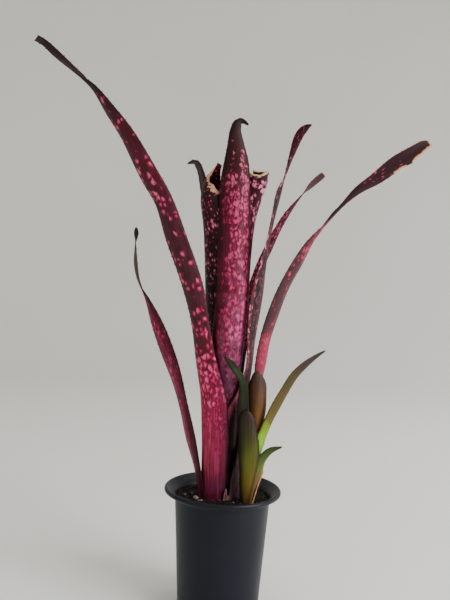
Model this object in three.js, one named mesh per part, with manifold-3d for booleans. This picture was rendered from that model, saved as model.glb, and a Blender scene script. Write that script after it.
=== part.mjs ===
// Potted hallelujah billbergia: a tubular rosette of nine long leaves with one green side shoot,
// standing in potting mix in a charcoal nursery pot. Millimetres, Z up.
// The origin is the centre of the pot's underside. The side that faces a viewer is -Y.
import * as THREE from 'three';
import Module from 'manifold-3d';
import { mergeVertices } from 'three/addons/utils/BufferGeometryUtils.js';

const wasm = await Module();
wasm.setup();

// Pot
const POT_HEIGHT = 125;
const RIM_RADIUS = 60;
const BODY_TOP_RADIUS = 48.7;
const BODY_TOP_HEIGHT = 113;
const BASE_RADIUS = 41.5;
const BASE_CHAMFER = 1.2;
const POT_WALL = 1.5;
const POT_FLOOR = 2;
const FLARE_RADIUS = 7.6;
const FLARE_SWEEP = 82;
const FLARE_STEPS = 4;
const POT_SEGMENTS = 40;
const DRAIN_HOLES = 6;
const DRAIN_RADIUS = 4.5;
const DRAIN_CIRCLE = 28;
const DRAIN_SEGMENTS = 12;

// The rolled rim's profile: [distance in from the rim radius, distance below the pot's top]
const RIM_PROFILE = [[1, 4.3], [0, 2.8], [0.3, 1.1], [1.6, 0], [3.8, 0.6]];

// Potting mix
const FIT_GAP = 0.3;
const MIX_HEIGHT = 115.5;
const MIX_BUMP = 1.6;
const MIX_RINGS = 5;
const MIX_SEGMENTS = POT_SEGMENTS;
const MIX_SEED = 29;
const HOLE_FLOOR = 91.7;
const HOLE_TOP = 122;
const MAIN_HOLE_RADIUS = 22.2;
const MAIN_HOLE_SEGMENTS = 32;
const PUP_HOLE_RADIUS = 7.2;
const PUP_HOLE_SEGMENTS = 20;
const STRAW_HOLE_RADIUS = 2.2;
const STRAW_HOLE_SEGMENTS = 10;
const STRAW_HOLE_FLOOR = 109.5;
const STRAW_HOLE_CENTRE = [28.8, -27.3];
const CHIP_COUNT = 12;
const CHIP_RADIUS = [2.2, 3.8];
const CHIP_RING = [29, 41];
const CHIP_SHAPE = [1, 0.7, 0.55];
const CHIP_SCATTER = 0.6;

// Plant
const MAIN_AXIS = [-4, 2];
const PUP_AXIS = [24.5, -17];
const LEAF_FOOT = 92;
const LEAF_THICKNESS = 0.8;
const PUP_LEAF_THICKNESS = 0.6;
const MAIN_FACET = 22.5;
const PUP_FACET = 30;
const MAIN_FIRST_LAYER = 10;
const MAIN_LAYER_PITCH = 1.2;
const PUP_FIRST_LAYER = 2;
const PUP_LAYER_PITCH = 0.9;
const MAIN_STEM_RADIUS = 9;
const MAIN_STEM_TOP = 118;
const MAIN_STEM_SEGMENTS = 16;
const PUP_STEM_RADIUS = 1.2;
const PUP_STEM_TOP = 104;
const PUP_STEM_SEGMENTS = 8;
const STEM_CROWN = 0.5;
const STEM_SHOULDER = 0.3;
const BLADE_STEPS = 2;

// How far the tube of leaves has widened at a height: [height, factor]
const MAIN_SPREAD = [[92, 1], [150, 1], [200, 1.17], [235, 1.27], [270, 1.45], [300, 1.6]];
const PUP_SPREAD = [[92, 1], [112, 1], [130, 1.35], [160, 1.85], [190, 2]];
const MAIN_SHEATH_HEIGHTS = [92, 125, 160, 195, 230, 265];
const PUP_SHEATH_HEIGHTS = [92, 108, 124, 140, 156];

// Marginal spines
const SPINE_HEIGHT = 1.4;
const SPINE_LENGTH = 1.8;
const SPINE_LEAN = 0.6;
const SPINE_EVERY = 2;
const SPINE_MARGIN = 0.12;
const SPINE_REACH_LIMIT = 0.35;
const SPINE_START = 196;
const PUP_SPINE_HEIGHT = 0.9;
const PUP_SPINE_LENGTH = 1.3;
const PUP_SPINE_START = 150;

// Straw
const STRAW_RADIUS = 0.6;
const STRAW_SIDES = 6;
const STRAW_STEPS = 6;
const STRAW_ENDS = [[27.7, -27.2, 110.4], [30.1, -27.4, 119], [34, -27.2, 134.6], [39.3, -27, 150.4]];

// Each leaf stands in its own layer of the tube, counted from the inside, with its middle at an
// azimuth (0 faces the viewer, 90 is the right). A blade row is
// [x, y, z, half width, wrap of the section in degrees, turn of the section in degrees].
const MAIN_LEAVES = [
  {
    name: 'leaf_back_left',
    layer: 0,
    azimuth: -180,
    spans: 6,
    sheathTop: 265,
    blade: [
      [-6, 19, 316, 12, 100, -178],
      [-14, 23.5, 358, 10, 84, -172],
      [-24.5, 26.5, 399.5, 9.5, 84, -165],
      [-34, 28, 431.5, 6, 84, -155],
      [-39, 30, 449.5, 4.5, 80, -148],
      [-45, 31, 460.5, 4.5, 70, -142],
      [-53.5, 32, 459, 1.5, 50, -140],
    ],
  },
  {
    name: 'leaf_rolled_right',
    layer: 1,
    azimuth: 112.5,
    spans: 6,
    sheathTop: 265,
    blade: [
      [16.5, 7, 318, 17, 150, 100],
      [17.5, 4, 359.5, 17.5, 172, 86],
      [19.5, 4.5, 394.5, 22, 192, 78],
      [24.5, 5.5, 419, 22.5, 215, 75],
      [30, 5, 437.5, 25, 240, 75],
      [31.5, 3.5, 449.5, 25.5, 256, 75],
      [31.5, 3.5, 456.5, 25.5, 260, 75],
    ],
  },
  {
    name: 'leaf_rolled_left',
    layer: 2,
    azimuth: -90,
    spans: 6,
    sheathTop: 265,
    blade: [
      [-25.5, 0, 311.5, 19, 144, -76],
      [-28, -1, 352, 18.5, 150, -70],
      [-31.5, 1.5, 387.5, 23.5, 180, -81],
      [-36, 7.5, 418.5, 32, 230, -100],
      [-32.5, 6, 439.5, 26, 240, -100],
      [-26, 1.5, 448.5, 13, 240, -99],
      [-19.5, -1.5, 456, 4, 220, -95],
    ],
  },
  {
    name: 'leaf_centre',
    layer: 3,
    azimuth: 22.5,
    spans: 6,
    sheathTop: 230,
    blade: [
      [0.5, -18.5, 273.5, 21, 124, 14],
      [2.5, -20, 318.5, 20.5, 118, 10],
      [1, -20, 358.5, 19, 112, 8],
      [0, -20, 393, 18.5, 106, 6],
      [-1.5, -20, 427.5, 17.5, 100, 4],
      [-2, -19, 454, 14.5, 96, 0],
      [-3.5, -17, 472, 10, 90, 0],
      [-4.5, -15, 486.5, 6.5, 84, 0],
      [-2, -13, 496, 4.5, 80, 0],
      [3, -12, 497, 2.5, 60, 10],
      [8.5, -12, 493.5, 1, 50, 10],
    ],
  },
  {
    name: 'leaf_slant_right',
    layer: 4,
    azimuth: 135,
    spans: 6,
    sheathTop: 230,
    blade: [
      [17.5, 17, 281, 10.5, 110, 125],
      [22, 18.5, 318, 11, 90, 118],
      [29.5, 21, 349.5, 10.5, 76, 112],
      [39, 25, 373.5, 11, 66, 110],
      [46.5, 29, 392, 9.5, 60, 112],
      [57, 33, 412.5, 7, 54, 112],
      [71, 38, 433, 5, 40, 92],
      [78, 41, 441, 5.5, 44, 68],
      [88.5, 45, 451.5, 5, 50, 50],
      [96, 48, 458, 4.5, 50, 50],
    ],
  },
  {
    name: 'leaf_upright_right',
    layer: 5,
    azimuth: 67.5,
    spans: 6,
    sheathTop: 195,
    blade: [
      [19, -5, 221, 15.5, 108, 70],
      [23, -5.5, 249.5, 9.5, 84, 70],
      [24.5, -7, 277.5, 11, 78, 66],
      [26.5, -9, 305, 12.5, 76, 58],
      [29, -11, 332, 12, 72, 58],
      [32.5, -13, 359, 11, 66, 72],
      [35, -15, 380, 9, 60, 84],
      [38.5, -17, 401.5, 8.5, 56, 79],
      [43, -19, 427, 8, 50, 70],
      [47.5, -21, 444.5, 6, 40, 94],
      [53, -24, 463.5, 6.5, 44, 112],
      [58.5, -26, 481, 7, 50, 125],
      [64, -28, 489, 5.5, 50, 130],
      [69.5, -29, 493, 1, 50, 130],
    ],
  },
  {
    name: 'leaf_long_right',
    layer: 6,
    azimuth: 112.5,
    spans: 6,
    sheathTop: 125,
    blade: [
      [13, 8.5, 146, 19.5, 128, 111],
      [18, 9, 170, 16, 108, 104],
      [26.5, 9, 197, 13.5, 90, 94],
      [33, 9, 224, 12.5, 80, 82],
      [37, 9.5, 250, 16.5, 74, 68],
      [40.5, 11, 277, 15.5, 72, 65],
      [48.5, 13, 306, 16.5, 70, 66],
      [58, 16, 333.5, 14.5, 68, 64],
      [71.5, 19, 360.5, 14, 64, 66],
      [83.5, 22, 383.5, 12, 56, 76],
      [101.5, 26, 408.5, 8, 40, 96],
      [111, 28, 420.5, 3.5, 44, 120],
      [129, 32, 439, 5.5, 50, 140],
      [149.5, 36, 453.5, 8, 54, 150],
      [169.5, 40, 470, 9.5, 54, 155],
      [190.5, 43, 484, 9, 54, 158],
      [201.5, 45, 493, 6.5, 54, 160],
      [206.5, 46, 496, 2.5, 54, 160],
    ],
  },
  {
    name: 'leaf_long_left',
    layer: 7,
    azimuth: -45,
    spans: 6,
    sheathTop: 160,
    blade: [
      [-18.5, -12.5, 186, 23.5, 133, -45],
      [-20, -15, 216.5, 21, 120, -42],
      [-25.5, -18, 250.5, 15.5, 100, -38],
      [-32.5, -22, 291, 12.5, 90, -34],
      [-41.5, -27, 329.5, 13.5, 84, -30],
      [-58, -33, 372.5, 13.5, 78, -30],
      [-71.5, -38, 409, 12, 76, -34],
      [-87.5, -42, 434.5, 13, 74, -40],
      [-108, -46, 469, 11.5, 70, -48],
      [-127, -50, 494.5, 10, 60, -58],
      [-139.5, -51, 510.5, 8, 80, -74],
      [-149.5, -53, 519.5, 6.5, 120, -98],
      [-157.5, -54, 526.5, 4.5, 120, -125],
      [-175, -56, 541.5, 4, 70, -160],
      [-185, -57, 550, 3.5, 50, -170],
      [-194, -56, 555, 3.5, 60, -175],
    ],
  },
  {
    name: 'leaf_short_left',
    layer: 8,
    azimuth: -90,
    spans: 4,
    sheathTop: 92,
    blade: [
      [-24.2, 2, 112, 15.5, 90, -90],
      [-29.5, 1.5, 141, 13, 84, -78],
      [-38, 4, 169, 14, 74, -66],
      [-46, 8, 200.5, 12, 64, -62],
      [-56.5, 12, 234, 13, 60, -56],
      [-69.5, 16, 266.5, 11.5, 60, -42],
      [-79.5, 19, 290, 9.5, 60, -42],
      [-89.5, 22, 312.5, 6.5, 60, -64],
      [-99.5, 25, 333.5, 3.5, 50, -100],
      [-103.5, 27, 352.5, 3, 50, -125],
      [-104.5, 29, 370.5, 2.5, 50, -100],
      [-104.5, 30, 383.5, 3, 50, -30],
      [-104.5, 30, 389.5, 1, 50, -20],
    ],
  },
];

const PUP_LEAVES = [
  {
    name: 'pup_tongue',
    layer: 0,
    azimuth: 0,
    spans: 4,
    sheathTop: 156,
    blade: [
      [30, -19, 191.5, 8.5, 116, 6],
      [31, -19.5, 208, 10.5, 100, 8],
      [30.5, -20, 223, 10.5, 84, 8],
      [30, -20, 236, 9.5, 74, 8],
      [28.5, -19.5, 245, 5, 64, 8],
      [28, -19.5, 248.5, 2, 56, 8],
    ],
  },
  {
    name: 'pup_blade_right',
    layer: 1,
    azimuth: 90,
    spans: 4,
    sheathTop: 140,
    blade: [
      [37.5, -17, 171, 12, 112, 70],
      [40, -18, 184, 10, 104, 56],
      [44.5, -19, 199, 8, 92, 48],
      [51, -20, 214.5, 8, 80, 44],
      [58, -21, 229.5, 7, 72, 42],
      [66.5, -22, 245.5, 6.5, 66, 42],
      [77.5, -22, 258, 5.5, 60, 44],
      [89, -22, 268, 3, 54, 46],
      [95.5, -22, 272.5, 1.5, 50, 50],
    ],
  },
  {
    name: 'pup_blade_left',
    layer: 2,
    azimuth: -60,
    spans: 4,
    sheathTop: 156,
    blade: [
      [14.5, -23, 195.5, 10.5, 110, -48],
      [14, -24, 216, 8.5, 100, -42],
      [15, -26, 231, 6, 84, -36],
      [12.5, -28, 241, 4.5, 70, -30],
      [3, -30, 254.5, 4.5, 60, -30],
      [-5, -31, 263, 1, 50, -30],
    ],
  },
  {
    name: 'pup_blade_low',
    layer: 3,
    azimuth: 60,
    spans: 4,
    sheathTop: 124,
    blade: [
      [36, -19, 143.5, 12, 110, 54],
      [38, -20, 156.5, 9, 90, 46],
      [42, -20, 164.5, 6.5, 70, 40],
      [48, -20, 170, 5, 60, 40],
      [57.5, -20, 174, 1, 50, 40],
    ],
  },
  {
    name: 'pup_scale_front',
    layer: 4,
    azimuth: -30,
    spans: 4,
    sheathTop: 124,
    blade: [
      [21.5, -28, 157, 12.5, 120, -24],
      [21.5, -29, 173, 13.5, 120, -20],
      [20, -29.5, 189, 12, 116, -18],
      [19, -29.5, 202, 10, 110, -16],
      [19, -29, 208.5, 6, 100, -14],
      [19, -29, 210.5, 2, 90, -14],
    ],
  },
];

// Colours and surfaces
const MATERIALS = {
  pot: { color: 0x27282c, roughness: 0.55, metalness: 0 },
  mix: { color: 0x33261d, roughness: 1, metalness: 0 },
  leaf: { color: 0x6b2540, roughness: 0.5, metalness: 0 },
  pup: { color: 0x55532a, roughness: 0.5, metalness: 0 },
  stem: { color: 0x8b7d55, roughness: 0.8, metalness: 0 },
  straw: { color: 0xc09a6c, roughness: 0.8, metalness: 0 },
};

const radians = THREE.MathUtils.degToRad;

function mesh(name, geometry, finish) {
  const flat = geometry.index ? geometry.toNonIndexed() : geometry;
  flat.computeVertexNormals();
  const made = new THREE.Mesh(flat, new THREE.MeshStandardMaterial(MATERIALS[finish]));
  made.name = name;
  return made;
}

function solid(geometry) {
  const bare = geometry.clone();
  bare.deleteAttribute('normal');
  bare.deleteAttribute('uv');
  const merged = mergeVertices(bare, 1e-4);
  return new wasm.Manifold(new wasm.Mesh({
    numProp: 3,
    vertProperties: new Float32Array(merged.attributes.position.array),
    triVerts: new Uint32Array(merged.index.array),
  }));
}

function geometryOf(body) {
  const { vertProperties, triVerts } = body.getMesh();
  const geometry = new THREE.BufferGeometry();
  geometry.setAttribute('position', new THREE.BufferAttribute(vertProperties, 3));
  geometry.setIndex(new THREE.BufferAttribute(triVerts, 1));
  return geometry;
}

function seededRandom(seed) {
  let state = seed;
  return () => {
    state = (state * 1664525 + 1013904223) % 4294967296;
    return state / 4294967296;
  };
}

function uprightCylinder(radius, bottom, top, segments, [x, y] = [0, 0]) {
  const geometry = new THREE.CylinderGeometry(radius, radius, top - bottom, segments);
  return geometry.rotateX(Math.PI / 2).translate(x, y, (top + bottom) / 2);
}

function turned(profile, segments) {
  const points = profile.map(([radius, height]) => new THREE.Vector2(radius, height));
  return new THREE.LatheGeometry(points, segments).rotateX(Math.PI / 2);
}

// Outside radius of the tapered pot wall at a height
function bodyRadius(height) {
  return THREE.MathUtils.mapLinear(height, 0, BODY_TOP_HEIGHT, BASE_RADIUS, BODY_TOP_RADIUS);
}

function flareArc(radius, steps) {
  const centreRadius = BODY_TOP_RADIUS + FLARE_RADIUS;
  return Array.from({ length: steps + 1 }, (_, k) => {
    const angle = radians((FLARE_SWEEP * k) / steps);
    return [
      centreRadius - radius * Math.cos(angle),
      BODY_TOP_HEIGHT + radius * Math.sin(angle),
    ];
  });
}

// Pot: a tapered cup that flares out under a rolled rim, with drain holes in its floor
function pot() {
  const outside = [
    [0, 0],
    [BASE_RADIUS - BASE_CHAMFER, 0],
    [BASE_RADIUS, BASE_CHAMFER],
    ...flareArc(FLARE_RADIUS, FLARE_STEPS),
  ];
  const rolledRim = RIM_PROFILE.map(([inset, drop]) => [RIM_RADIUS - inset, POT_HEIGHT - drop]);
  const inside = [
    ...flareArc(FLARE_RADIUS + POT_WALL, FLARE_STEPS - 1).slice(0, -1).reverse(),
    [bodyRadius(POT_FLOOR) - POT_WALL, POT_FLOOR],
    [0, POT_FLOOR],
  ];
  let body = solid(turned([...outside, ...rolledRim, ...inside], POT_SEGMENTS));
  for (let k = 0; k < DRAIN_HOLES; k += 1) {
    const angle = (k * 2 * Math.PI) / DRAIN_HOLES;
    const place = [DRAIN_CIRCLE * Math.cos(angle), DRAIN_CIRCLE * Math.sin(angle)];
    const hole = uprightCylinder(DRAIN_RADIUS, -POT_FLOOR, 2 * POT_FLOOR, DRAIN_SEGMENTS, place);
    body = body.subtract(solid(hole));
  }
  return mesh('pot', geometryOf(body), 'pot');
}

// A disc of mix with an uneven top: rings of seeded heights, a flat floor and a tapered side
function mixBlock(random) {
  const floor = POT_FLOOR + FIT_GAP;
  const floorRadius = bodyRadius(floor) - POT_WALL - FIT_GAP;
  const topRadius = bodyRadius(BODY_TOP_HEIGHT) - POT_WALL - FIT_GAP;
  const places = [[0, 0, MIX_HEIGHT]];
  for (let ring = 1; ring <= MIX_RINGS; ring += 1) {
    const edge = ring === MIX_RINGS;
    for (let k = 0; k < MIX_SEGMENTS; k += 1) {
      const angle = (k * 2 * Math.PI) / MIX_SEGMENTS;
      const radius = (topRadius * ring) / MIX_RINGS;
      const bump = edge ? 0 : (random() - 0.5) * 2 * MIX_BUMP;
      places.push([radius * Math.cos(angle), radius * Math.sin(angle), MIX_HEIGHT + bump]);
    }
  }
  for (let k = 0; k < MIX_SEGMENTS; k += 1) {
    const angle = (k * 2 * Math.PI) / MIX_SEGMENTS;
    places.push([floorRadius * Math.cos(angle), floorRadius * Math.sin(angle), floor]);
  }
  places.push([0, 0, floor]);
  const at = (ring, k) => (ring === 0 ? 0 : 1 + (ring - 1) * MIX_SEGMENTS + (k % MIX_SEGMENTS));
  const lowest = places.length - 1;
  const faces = [];
  for (let k = 0; k < MIX_SEGMENTS; k += 1) {
    faces.push([0, at(1, k), at(1, k + 1)]);
    for (let ring = 1; ring <= MIX_RINGS; ring += 1) {
      faces.push([at(ring, k), at(ring + 1, k), at(ring + 1, k + 1)]);
      faces.push([at(ring, k), at(ring + 1, k + 1), at(ring, k + 1)]);
    }
    faces.push([lowest, at(MIX_RINGS + 1, k + 1), at(MIX_RINGS + 1, k)]);
  }
  return fromFaces(places, faces);
}

function fromFaces(places, faces) {
  const geometry = new THREE.BufferGeometry();
  geometry.setAttribute('position', new THREE.Float32BufferAttribute(places.flat(), 3));
  geometry.setIndex(faces.flat());
  return geometry;
}

// Bark chips, sunk in the mix round the plant
function chips(random) {
  const [least, most] = CHIP_RADIUS;
  const [near, far] = CHIP_RING;
  return Array.from({ length: CHIP_COUNT }, (_, k) => {
    const radius = least + (most - least) * random();
    const ring = near + (far - near) * random();
    const angle = ((k + random() * CHIP_SCATTER) * 2 * Math.PI) / CHIP_COUNT;
    const chip = new THREE.DodecahedronGeometry(radius, 0);
    chip.scale(...CHIP_SHAPE).rotateX(random()).rotateZ(random() * Math.PI);
    return chip.translate(ring * Math.cos(angle), ring * Math.sin(angle), MIX_HEIGHT);
  });
}

function pottingMix() {
  const random = seededRandom(MIX_SEED);
  let body = solid(mixBlock(random));
  for (const chip of chips(random)) {
    body = body.add(solid(chip));
  }
  const holes = [
    [MAIN_HOLE_RADIUS, HOLE_FLOOR, HOLE_TOP, MAIN_HOLE_SEGMENTS, MAIN_AXIS],
    [PUP_HOLE_RADIUS, HOLE_FLOOR, HOLE_TOP, PUP_HOLE_SEGMENTS, PUP_AXIS],
    [STRAW_HOLE_RADIUS, STRAW_HOLE_FLOOR, HOLE_TOP, STRAW_HOLE_SEGMENTS, STRAW_HOLE_CENTRE],
  ];
  for (const hole of holes) {
    body = body.subtract(solid(uprightCylinder(...hole)));
  }
  return mesh('potting_mix', geometryOf(body), 'mix');
}

function spreadAt(table, height) {
  const last = table[table.length - 1];
  if (height >= last[0]) return last[1];
  const next = table.findIndex(([level]) => level > height);
  const [low, high] = [table[next - 1], table[next]];
  return THREE.MathUtils.mapLinear(height, low[0], high[0], low[1], high[1]);
}

// Rows of a leaf while it is still part of the tube: its section lies on a circle round the axis
function sheathRows(leaf, plant) {
  return plant.heights
    .filter((height) => height <= leaf.sheathTop)
    .map((height) => {
      const radius = (plant.firstLayer + leaf.layer * plant.pitch)
        * spreadAt(plant.spread, height);
      const angle = radians(leaf.azimuth);
      const wrap = leaf.spans * plant.facet;
      return [
        plant.axis[0] + radius * Math.sin(angle),
        plant.axis[1] - radius * Math.cos(angle),
        height,
        (radius * radians(wrap)) / 2,
        wrap,
        leaf.azimuth,
      ];
    });
}

// A smooth line through the rows, for the place and for the width, wrap and turn alike
function stationsAlong(rows, sheathCount) {
  const mirrored = (end, next) => end.map((value, k) => 2 * value - next[k]);
  const all = [
    mirrored(rows[0], rows[1]),
    ...rows,
    mirrored(rows[rows.length - 1], rows[rows.length - 2]),
  ];
  const stations = [];
  for (let i = 0; i < rows.length - 1; i += 1) {
    const steps = i < sheathCount - 1 ? 1 : BLADE_STEPS;
    for (let k = 0; k < steps; k += 1) {
      stations.push(stationAt(all.slice(i, i + 4), k / steps));
    }
  }
  stations.push(stationAt(all.slice(-4), 1));
  return stations;
}

function stationAt([before, start, end, after], t) {
  const curve = (k) => {
    const pull = (end[k] - before[k]) / 2;
    const push = (after[k] - start[k]) / 2;
    const square = 3 * (end[k] - start[k]) - 2 * pull - push;
    const cube = 2 * (start[k] - end[k]) + pull + push;
    return {
      value: start[k] + pull * t + square * t * t + cube * t * t * t,
      slope: pull + 2 * square * t + 3 * cube * t * t,
    };
  };
  const [x, y, z, halfWidth, wrap, turn] = [0, 1, 2, 3, 4, 5].map(curve);
  const along = new THREE.Vector3(x.slope, y.slope, z.slope).normalize();
  const level = new THREE.Vector3(0, 1, 0);
  const across = new THREE.Vector3().crossVectors(along, level).normalize();
  across.applyAxisAngle(along, radians(turn.value));
  return {
    place: new THREE.Vector3(x.value, y.value, z.value),
    along,
    across,
    inward: new THREE.Vector3().crossVectors(across, along),
    half: radians(wrap.value) / 2,
    radius: halfWidth.value / (radians(wrap.value) / 2),
  };
}

// A point of a section and the direction of its inner face, for u from -1 to 1 across the leaf
function sectionPoint(station, u) {
  const angle = u * station.half;
  const place = station.place.clone()
    .addScaledVector(station.across, station.radius * Math.sin(angle))
    .addScaledVector(station.inward, station.radius * (1 - Math.cos(angle)));
  const facing = station.inward.clone().multiplyScalar(Math.cos(angle))
    .addScaledVector(station.across, -Math.sin(angle));
  const sideways = station.across.clone().multiplyScalar(Math.cos(angle))
    .addScaledVector(station.inward, Math.sin(angle));
  return { place, facing, sideways };
}

// A closed leaf: outer and inner face with the same triangles, margins with spines, closed ends
class LeafSolid {
  constructor(stations, spans, thickness, spine) {
    this.stations = stations;
    this.spans = spans;
    this.spine = spine;
    this.places = [];
    this.faces = [];
    this.outer = [];
    this.inner = [];
    for (const station of stations) {
      const points = Array.from({ length: spans + 1 }, (_, j) => (
        sectionPoint(station, (2 * j) / spans - 1)
      ));
      this.outer.push(points.map(({ place, facing }) => (
        this.add(place.clone().addScaledVector(facing, -thickness / 2))
      )));
      this.inner.push(points.map(({ place, facing }) => (
        this.add(place.clone().addScaledVector(facing, thickness / 2))
      )));
    }
    this.addFaces();
    this.addMargins();
    this.addEnds();
  }

  add(place) {
    this.places.push(place);
    return this.places.length - 1;
  }

  quad(a, b, c, d) {
    this.faces.push([a, b, d], [b, c, d]);
  }

  addFaces() {
    const { outer, inner } = this;
    for (let i = 0; i < outer.length - 1; i += 1) {
      for (let j = 0; j < this.spans; j += 1) {
        this.faces.push([outer[i][j], outer[i + 1][j], outer[i][j + 1]]);
        this.faces.push([outer[i + 1][j], outer[i + 1][j + 1], outer[i][j + 1]]);
        this.faces.push([inner[i][j], inner[i][j + 1], inner[i + 1][j]]);
        this.faces.push([inner[i + 1][j], inner[i][j + 1], inner[i + 1][j + 1]]);
      }
    }
  }

  addMargins() {
    const { outer, inner, spans } = this;
    for (let i = 0; i < outer.length - 1; i += 1) {
      const spined = this.stations[i].place.z > this.spine.start && i % SPINE_EVERY === 0;
      const right = [outer[i][spans], outer[i + 1][spans], inner[i + 1][spans], inner[i][spans]];
      const left = [outer[i + 1][0], outer[i][0], inner[i][0], inner[i + 1][0]];
      for (const [corners, u] of [[right, 1], [left, -1]]) {
        if (spined) {
          this.spinedQuad(corners, i, u);
        } else {
          this.quad(...corners);
        }
      }
    }
  }

  // A margin quad with a small four-sided spine on its middle
  spinedQuad(corners, i, u) {
    const station = this.stations[i];
    const [a, b, c, d] = corners.map((index) => this.places[index]);
    const length = a.distanceTo(b);
    const reach = Math.min(this.spine.length / length / 2, SPINE_REACH_LIMIT);
    const between = (s, v) => a.clone().lerp(b, s).lerp(d.clone().lerp(c, s), v);
    const [near, far] = [SPINE_MARGIN, 1 - SPINE_MARGIN];
    const base = [[-reach, near], [reach, near], [reach, far], [-reach, far]]
      .map(([shift, v]) => this.add(between(0.5 + shift, v)));
    const { sideways } = sectionPoint(station, u);
    const tip = this.add(between(0.5, 0.5)
      .addScaledVector(sideways, u * this.spine.height)
      .addScaledVector(station.along, SPINE_LEAN));
    for (let k = 0; k < 4; k += 1) {
      const next = (k + 1) % 4;
      this.faces.push([corners[k], corners[next], base[next]]);
      this.faces.push([corners[k], base[next], base[k]]);
      this.faces.push([base[k], base[next], tip]);
    }
  }

  addEnds() {
    const last = this.stations.length - 1;
    const { outer, inner } = this;
    for (let j = 0; j < this.spans; j += 1) {
      this.quad(outer[0][j], outer[0][j + 1], inner[0][j + 1], inner[0][j]);
      this.quad(outer[last][j + 1], outer[last][j], inner[last][j], inner[last][j + 1]);
    }
  }

  geometry() {
    return fromFaces(this.places.map((place) => place.toArray()), this.faces);
  }
}

function leafMesh(leaf, plant) {
  const sheath = sheathRows(leaf, plant);
  const stations = stationsAlong([...sheath, ...leaf.blade], sheath.length);
  const body = new LeafSolid(stations, leaf.spans, plant.thickness, plant.spine);
  return mesh(leaf.name, body.geometry(), plant.finish);
}

const MAIN_PLANT = {
  axis: MAIN_AXIS,
  heights: MAIN_SHEATH_HEIGHTS,
  spread: MAIN_SPREAD,
  firstLayer: MAIN_FIRST_LAYER,
  pitch: MAIN_LAYER_PITCH,
  facet: MAIN_FACET,
  thickness: LEAF_THICKNESS,
  finish: 'leaf',
  spine: { start: SPINE_START, height: SPINE_HEIGHT, length: SPINE_LENGTH },
};

const PUP_PLANT = {
  axis: PUP_AXIS,
  heights: PUP_SHEATH_HEIGHTS,
  spread: PUP_SPREAD,
  firstLayer: PUP_FIRST_LAYER,
  pitch: PUP_LAYER_PITCH,
  facet: PUP_FACET,
  thickness: PUP_LEAF_THICKNESS,
  finish: 'pup',
  spine: { start: PUP_SPINE_START, height: PUP_SPINE_HEIGHT, length: PUP_SPINE_LENGTH },
};

// The short stem that the leaves of a shoot grow from
function stem(name, radius, top, segments, axis) {
  const profile = [
    [0, LEAF_FOOT],
    [radius, LEAF_FOOT],
    [radius, top - radius * STEM_SHOULDER],
    [radius * STEM_CROWN, top],
    [0, top],
  ];
  return mesh(name, turned(profile, segments).translate(axis[0], axis[1], 0), 'stem');
}

// Dry straw that leans in the mix beside the side shoot
function straw() {
  const path = new THREE.CatmullRomCurve3(STRAW_ENDS.map((place) => new THREE.Vector3(...place)));
  const section = new THREE.Shape();
  for (let k = 0; k < STRAW_SIDES; k += 1) {
    const angle = (k * 2 * Math.PI) / STRAW_SIDES;
    const [x, y] = [STRAW_RADIUS * Math.cos(angle), STRAW_RADIUS * Math.sin(angle)];
    if (k === 0) section.moveTo(x, y);
    else section.lineTo(x, y);
  }
  const geometry = new THREE.ExtrudeGeometry(section, { steps: STRAW_STEPS, extrudePath: path });
  return mesh('dry_straw', geometry, 'straw');
}

const plant = new THREE.Group();
plant.name = 'potted_hallelujah_billbergia';
plant.add(pot());
plant.add(pottingMix());
plant.add(stem('main_stem', MAIN_STEM_RADIUS, MAIN_STEM_TOP, MAIN_STEM_SEGMENTS, MAIN_AXIS));
plant.add(stem('pup_stem', PUP_STEM_RADIUS, PUP_STEM_TOP, PUP_STEM_SEGMENTS, PUP_AXIS));
for (const leaf of MAIN_LEAVES) {
  plant.add(leafMesh(leaf, MAIN_PLANT));
}
for (const leaf of PUP_LEAVES) {
  plant.add(leafMesh(leaf, PUP_PLANT));
}
plant.add(straw());

export default plant;
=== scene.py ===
"""Looks of a potted hallelujah billbergia: spotted leaves in a tube, a side shoot, mix and pot.

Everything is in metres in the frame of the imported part: X right, Z up, and -Y faces the viewer.
Sizes are written in millimetres, as the maker of the part would measure them.
"""

from __future__ import annotations

import logging
import math
import random
from bisect import bisect_left
from dataclasses import dataclass, field
from enum import Enum
from typing import Any, ClassVar, Iterable, Sequence

import bmesh
import bpy
from mathutils import Matrix, Vector, noise

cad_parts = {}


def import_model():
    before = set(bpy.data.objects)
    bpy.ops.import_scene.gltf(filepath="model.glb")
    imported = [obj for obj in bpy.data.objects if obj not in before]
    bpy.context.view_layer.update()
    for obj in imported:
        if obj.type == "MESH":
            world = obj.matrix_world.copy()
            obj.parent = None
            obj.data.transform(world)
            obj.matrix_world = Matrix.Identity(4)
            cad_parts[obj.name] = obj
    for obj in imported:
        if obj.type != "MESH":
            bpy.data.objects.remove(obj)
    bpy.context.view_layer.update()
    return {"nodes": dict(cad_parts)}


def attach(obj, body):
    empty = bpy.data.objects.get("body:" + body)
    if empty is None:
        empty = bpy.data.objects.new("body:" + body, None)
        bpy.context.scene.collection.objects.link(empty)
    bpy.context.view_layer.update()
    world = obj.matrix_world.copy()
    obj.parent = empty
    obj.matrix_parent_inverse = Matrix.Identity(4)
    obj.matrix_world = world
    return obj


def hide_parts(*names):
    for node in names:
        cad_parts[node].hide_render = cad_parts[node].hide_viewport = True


MM = 0.001
BODY = "root"
WELD = 1e-6
LOG = logging.getLogger("billbergia")

LeafRow = tuple[float, float, float, float, float, float]
Stop = tuple[float, str | float]
Level = tuple[float, float]
Place = tuple[float, float, float]


class Slot(Enum):
    """Material slots of the record, which a leaf holds but nothing reads. The stems keep their own.
    """

    POT = "pot_plastic"
    MIX = "potting_mix"
    LEAF = "leaf"
    PUP_LEAF = "pup_leaf"
    STRAW = "straw"


class Face(Enum):
    """The faces of a leaf, each with a material slot of its own on the mesh."""

    OUTER = 0
    INNER = 1
    SPINE = 2


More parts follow.
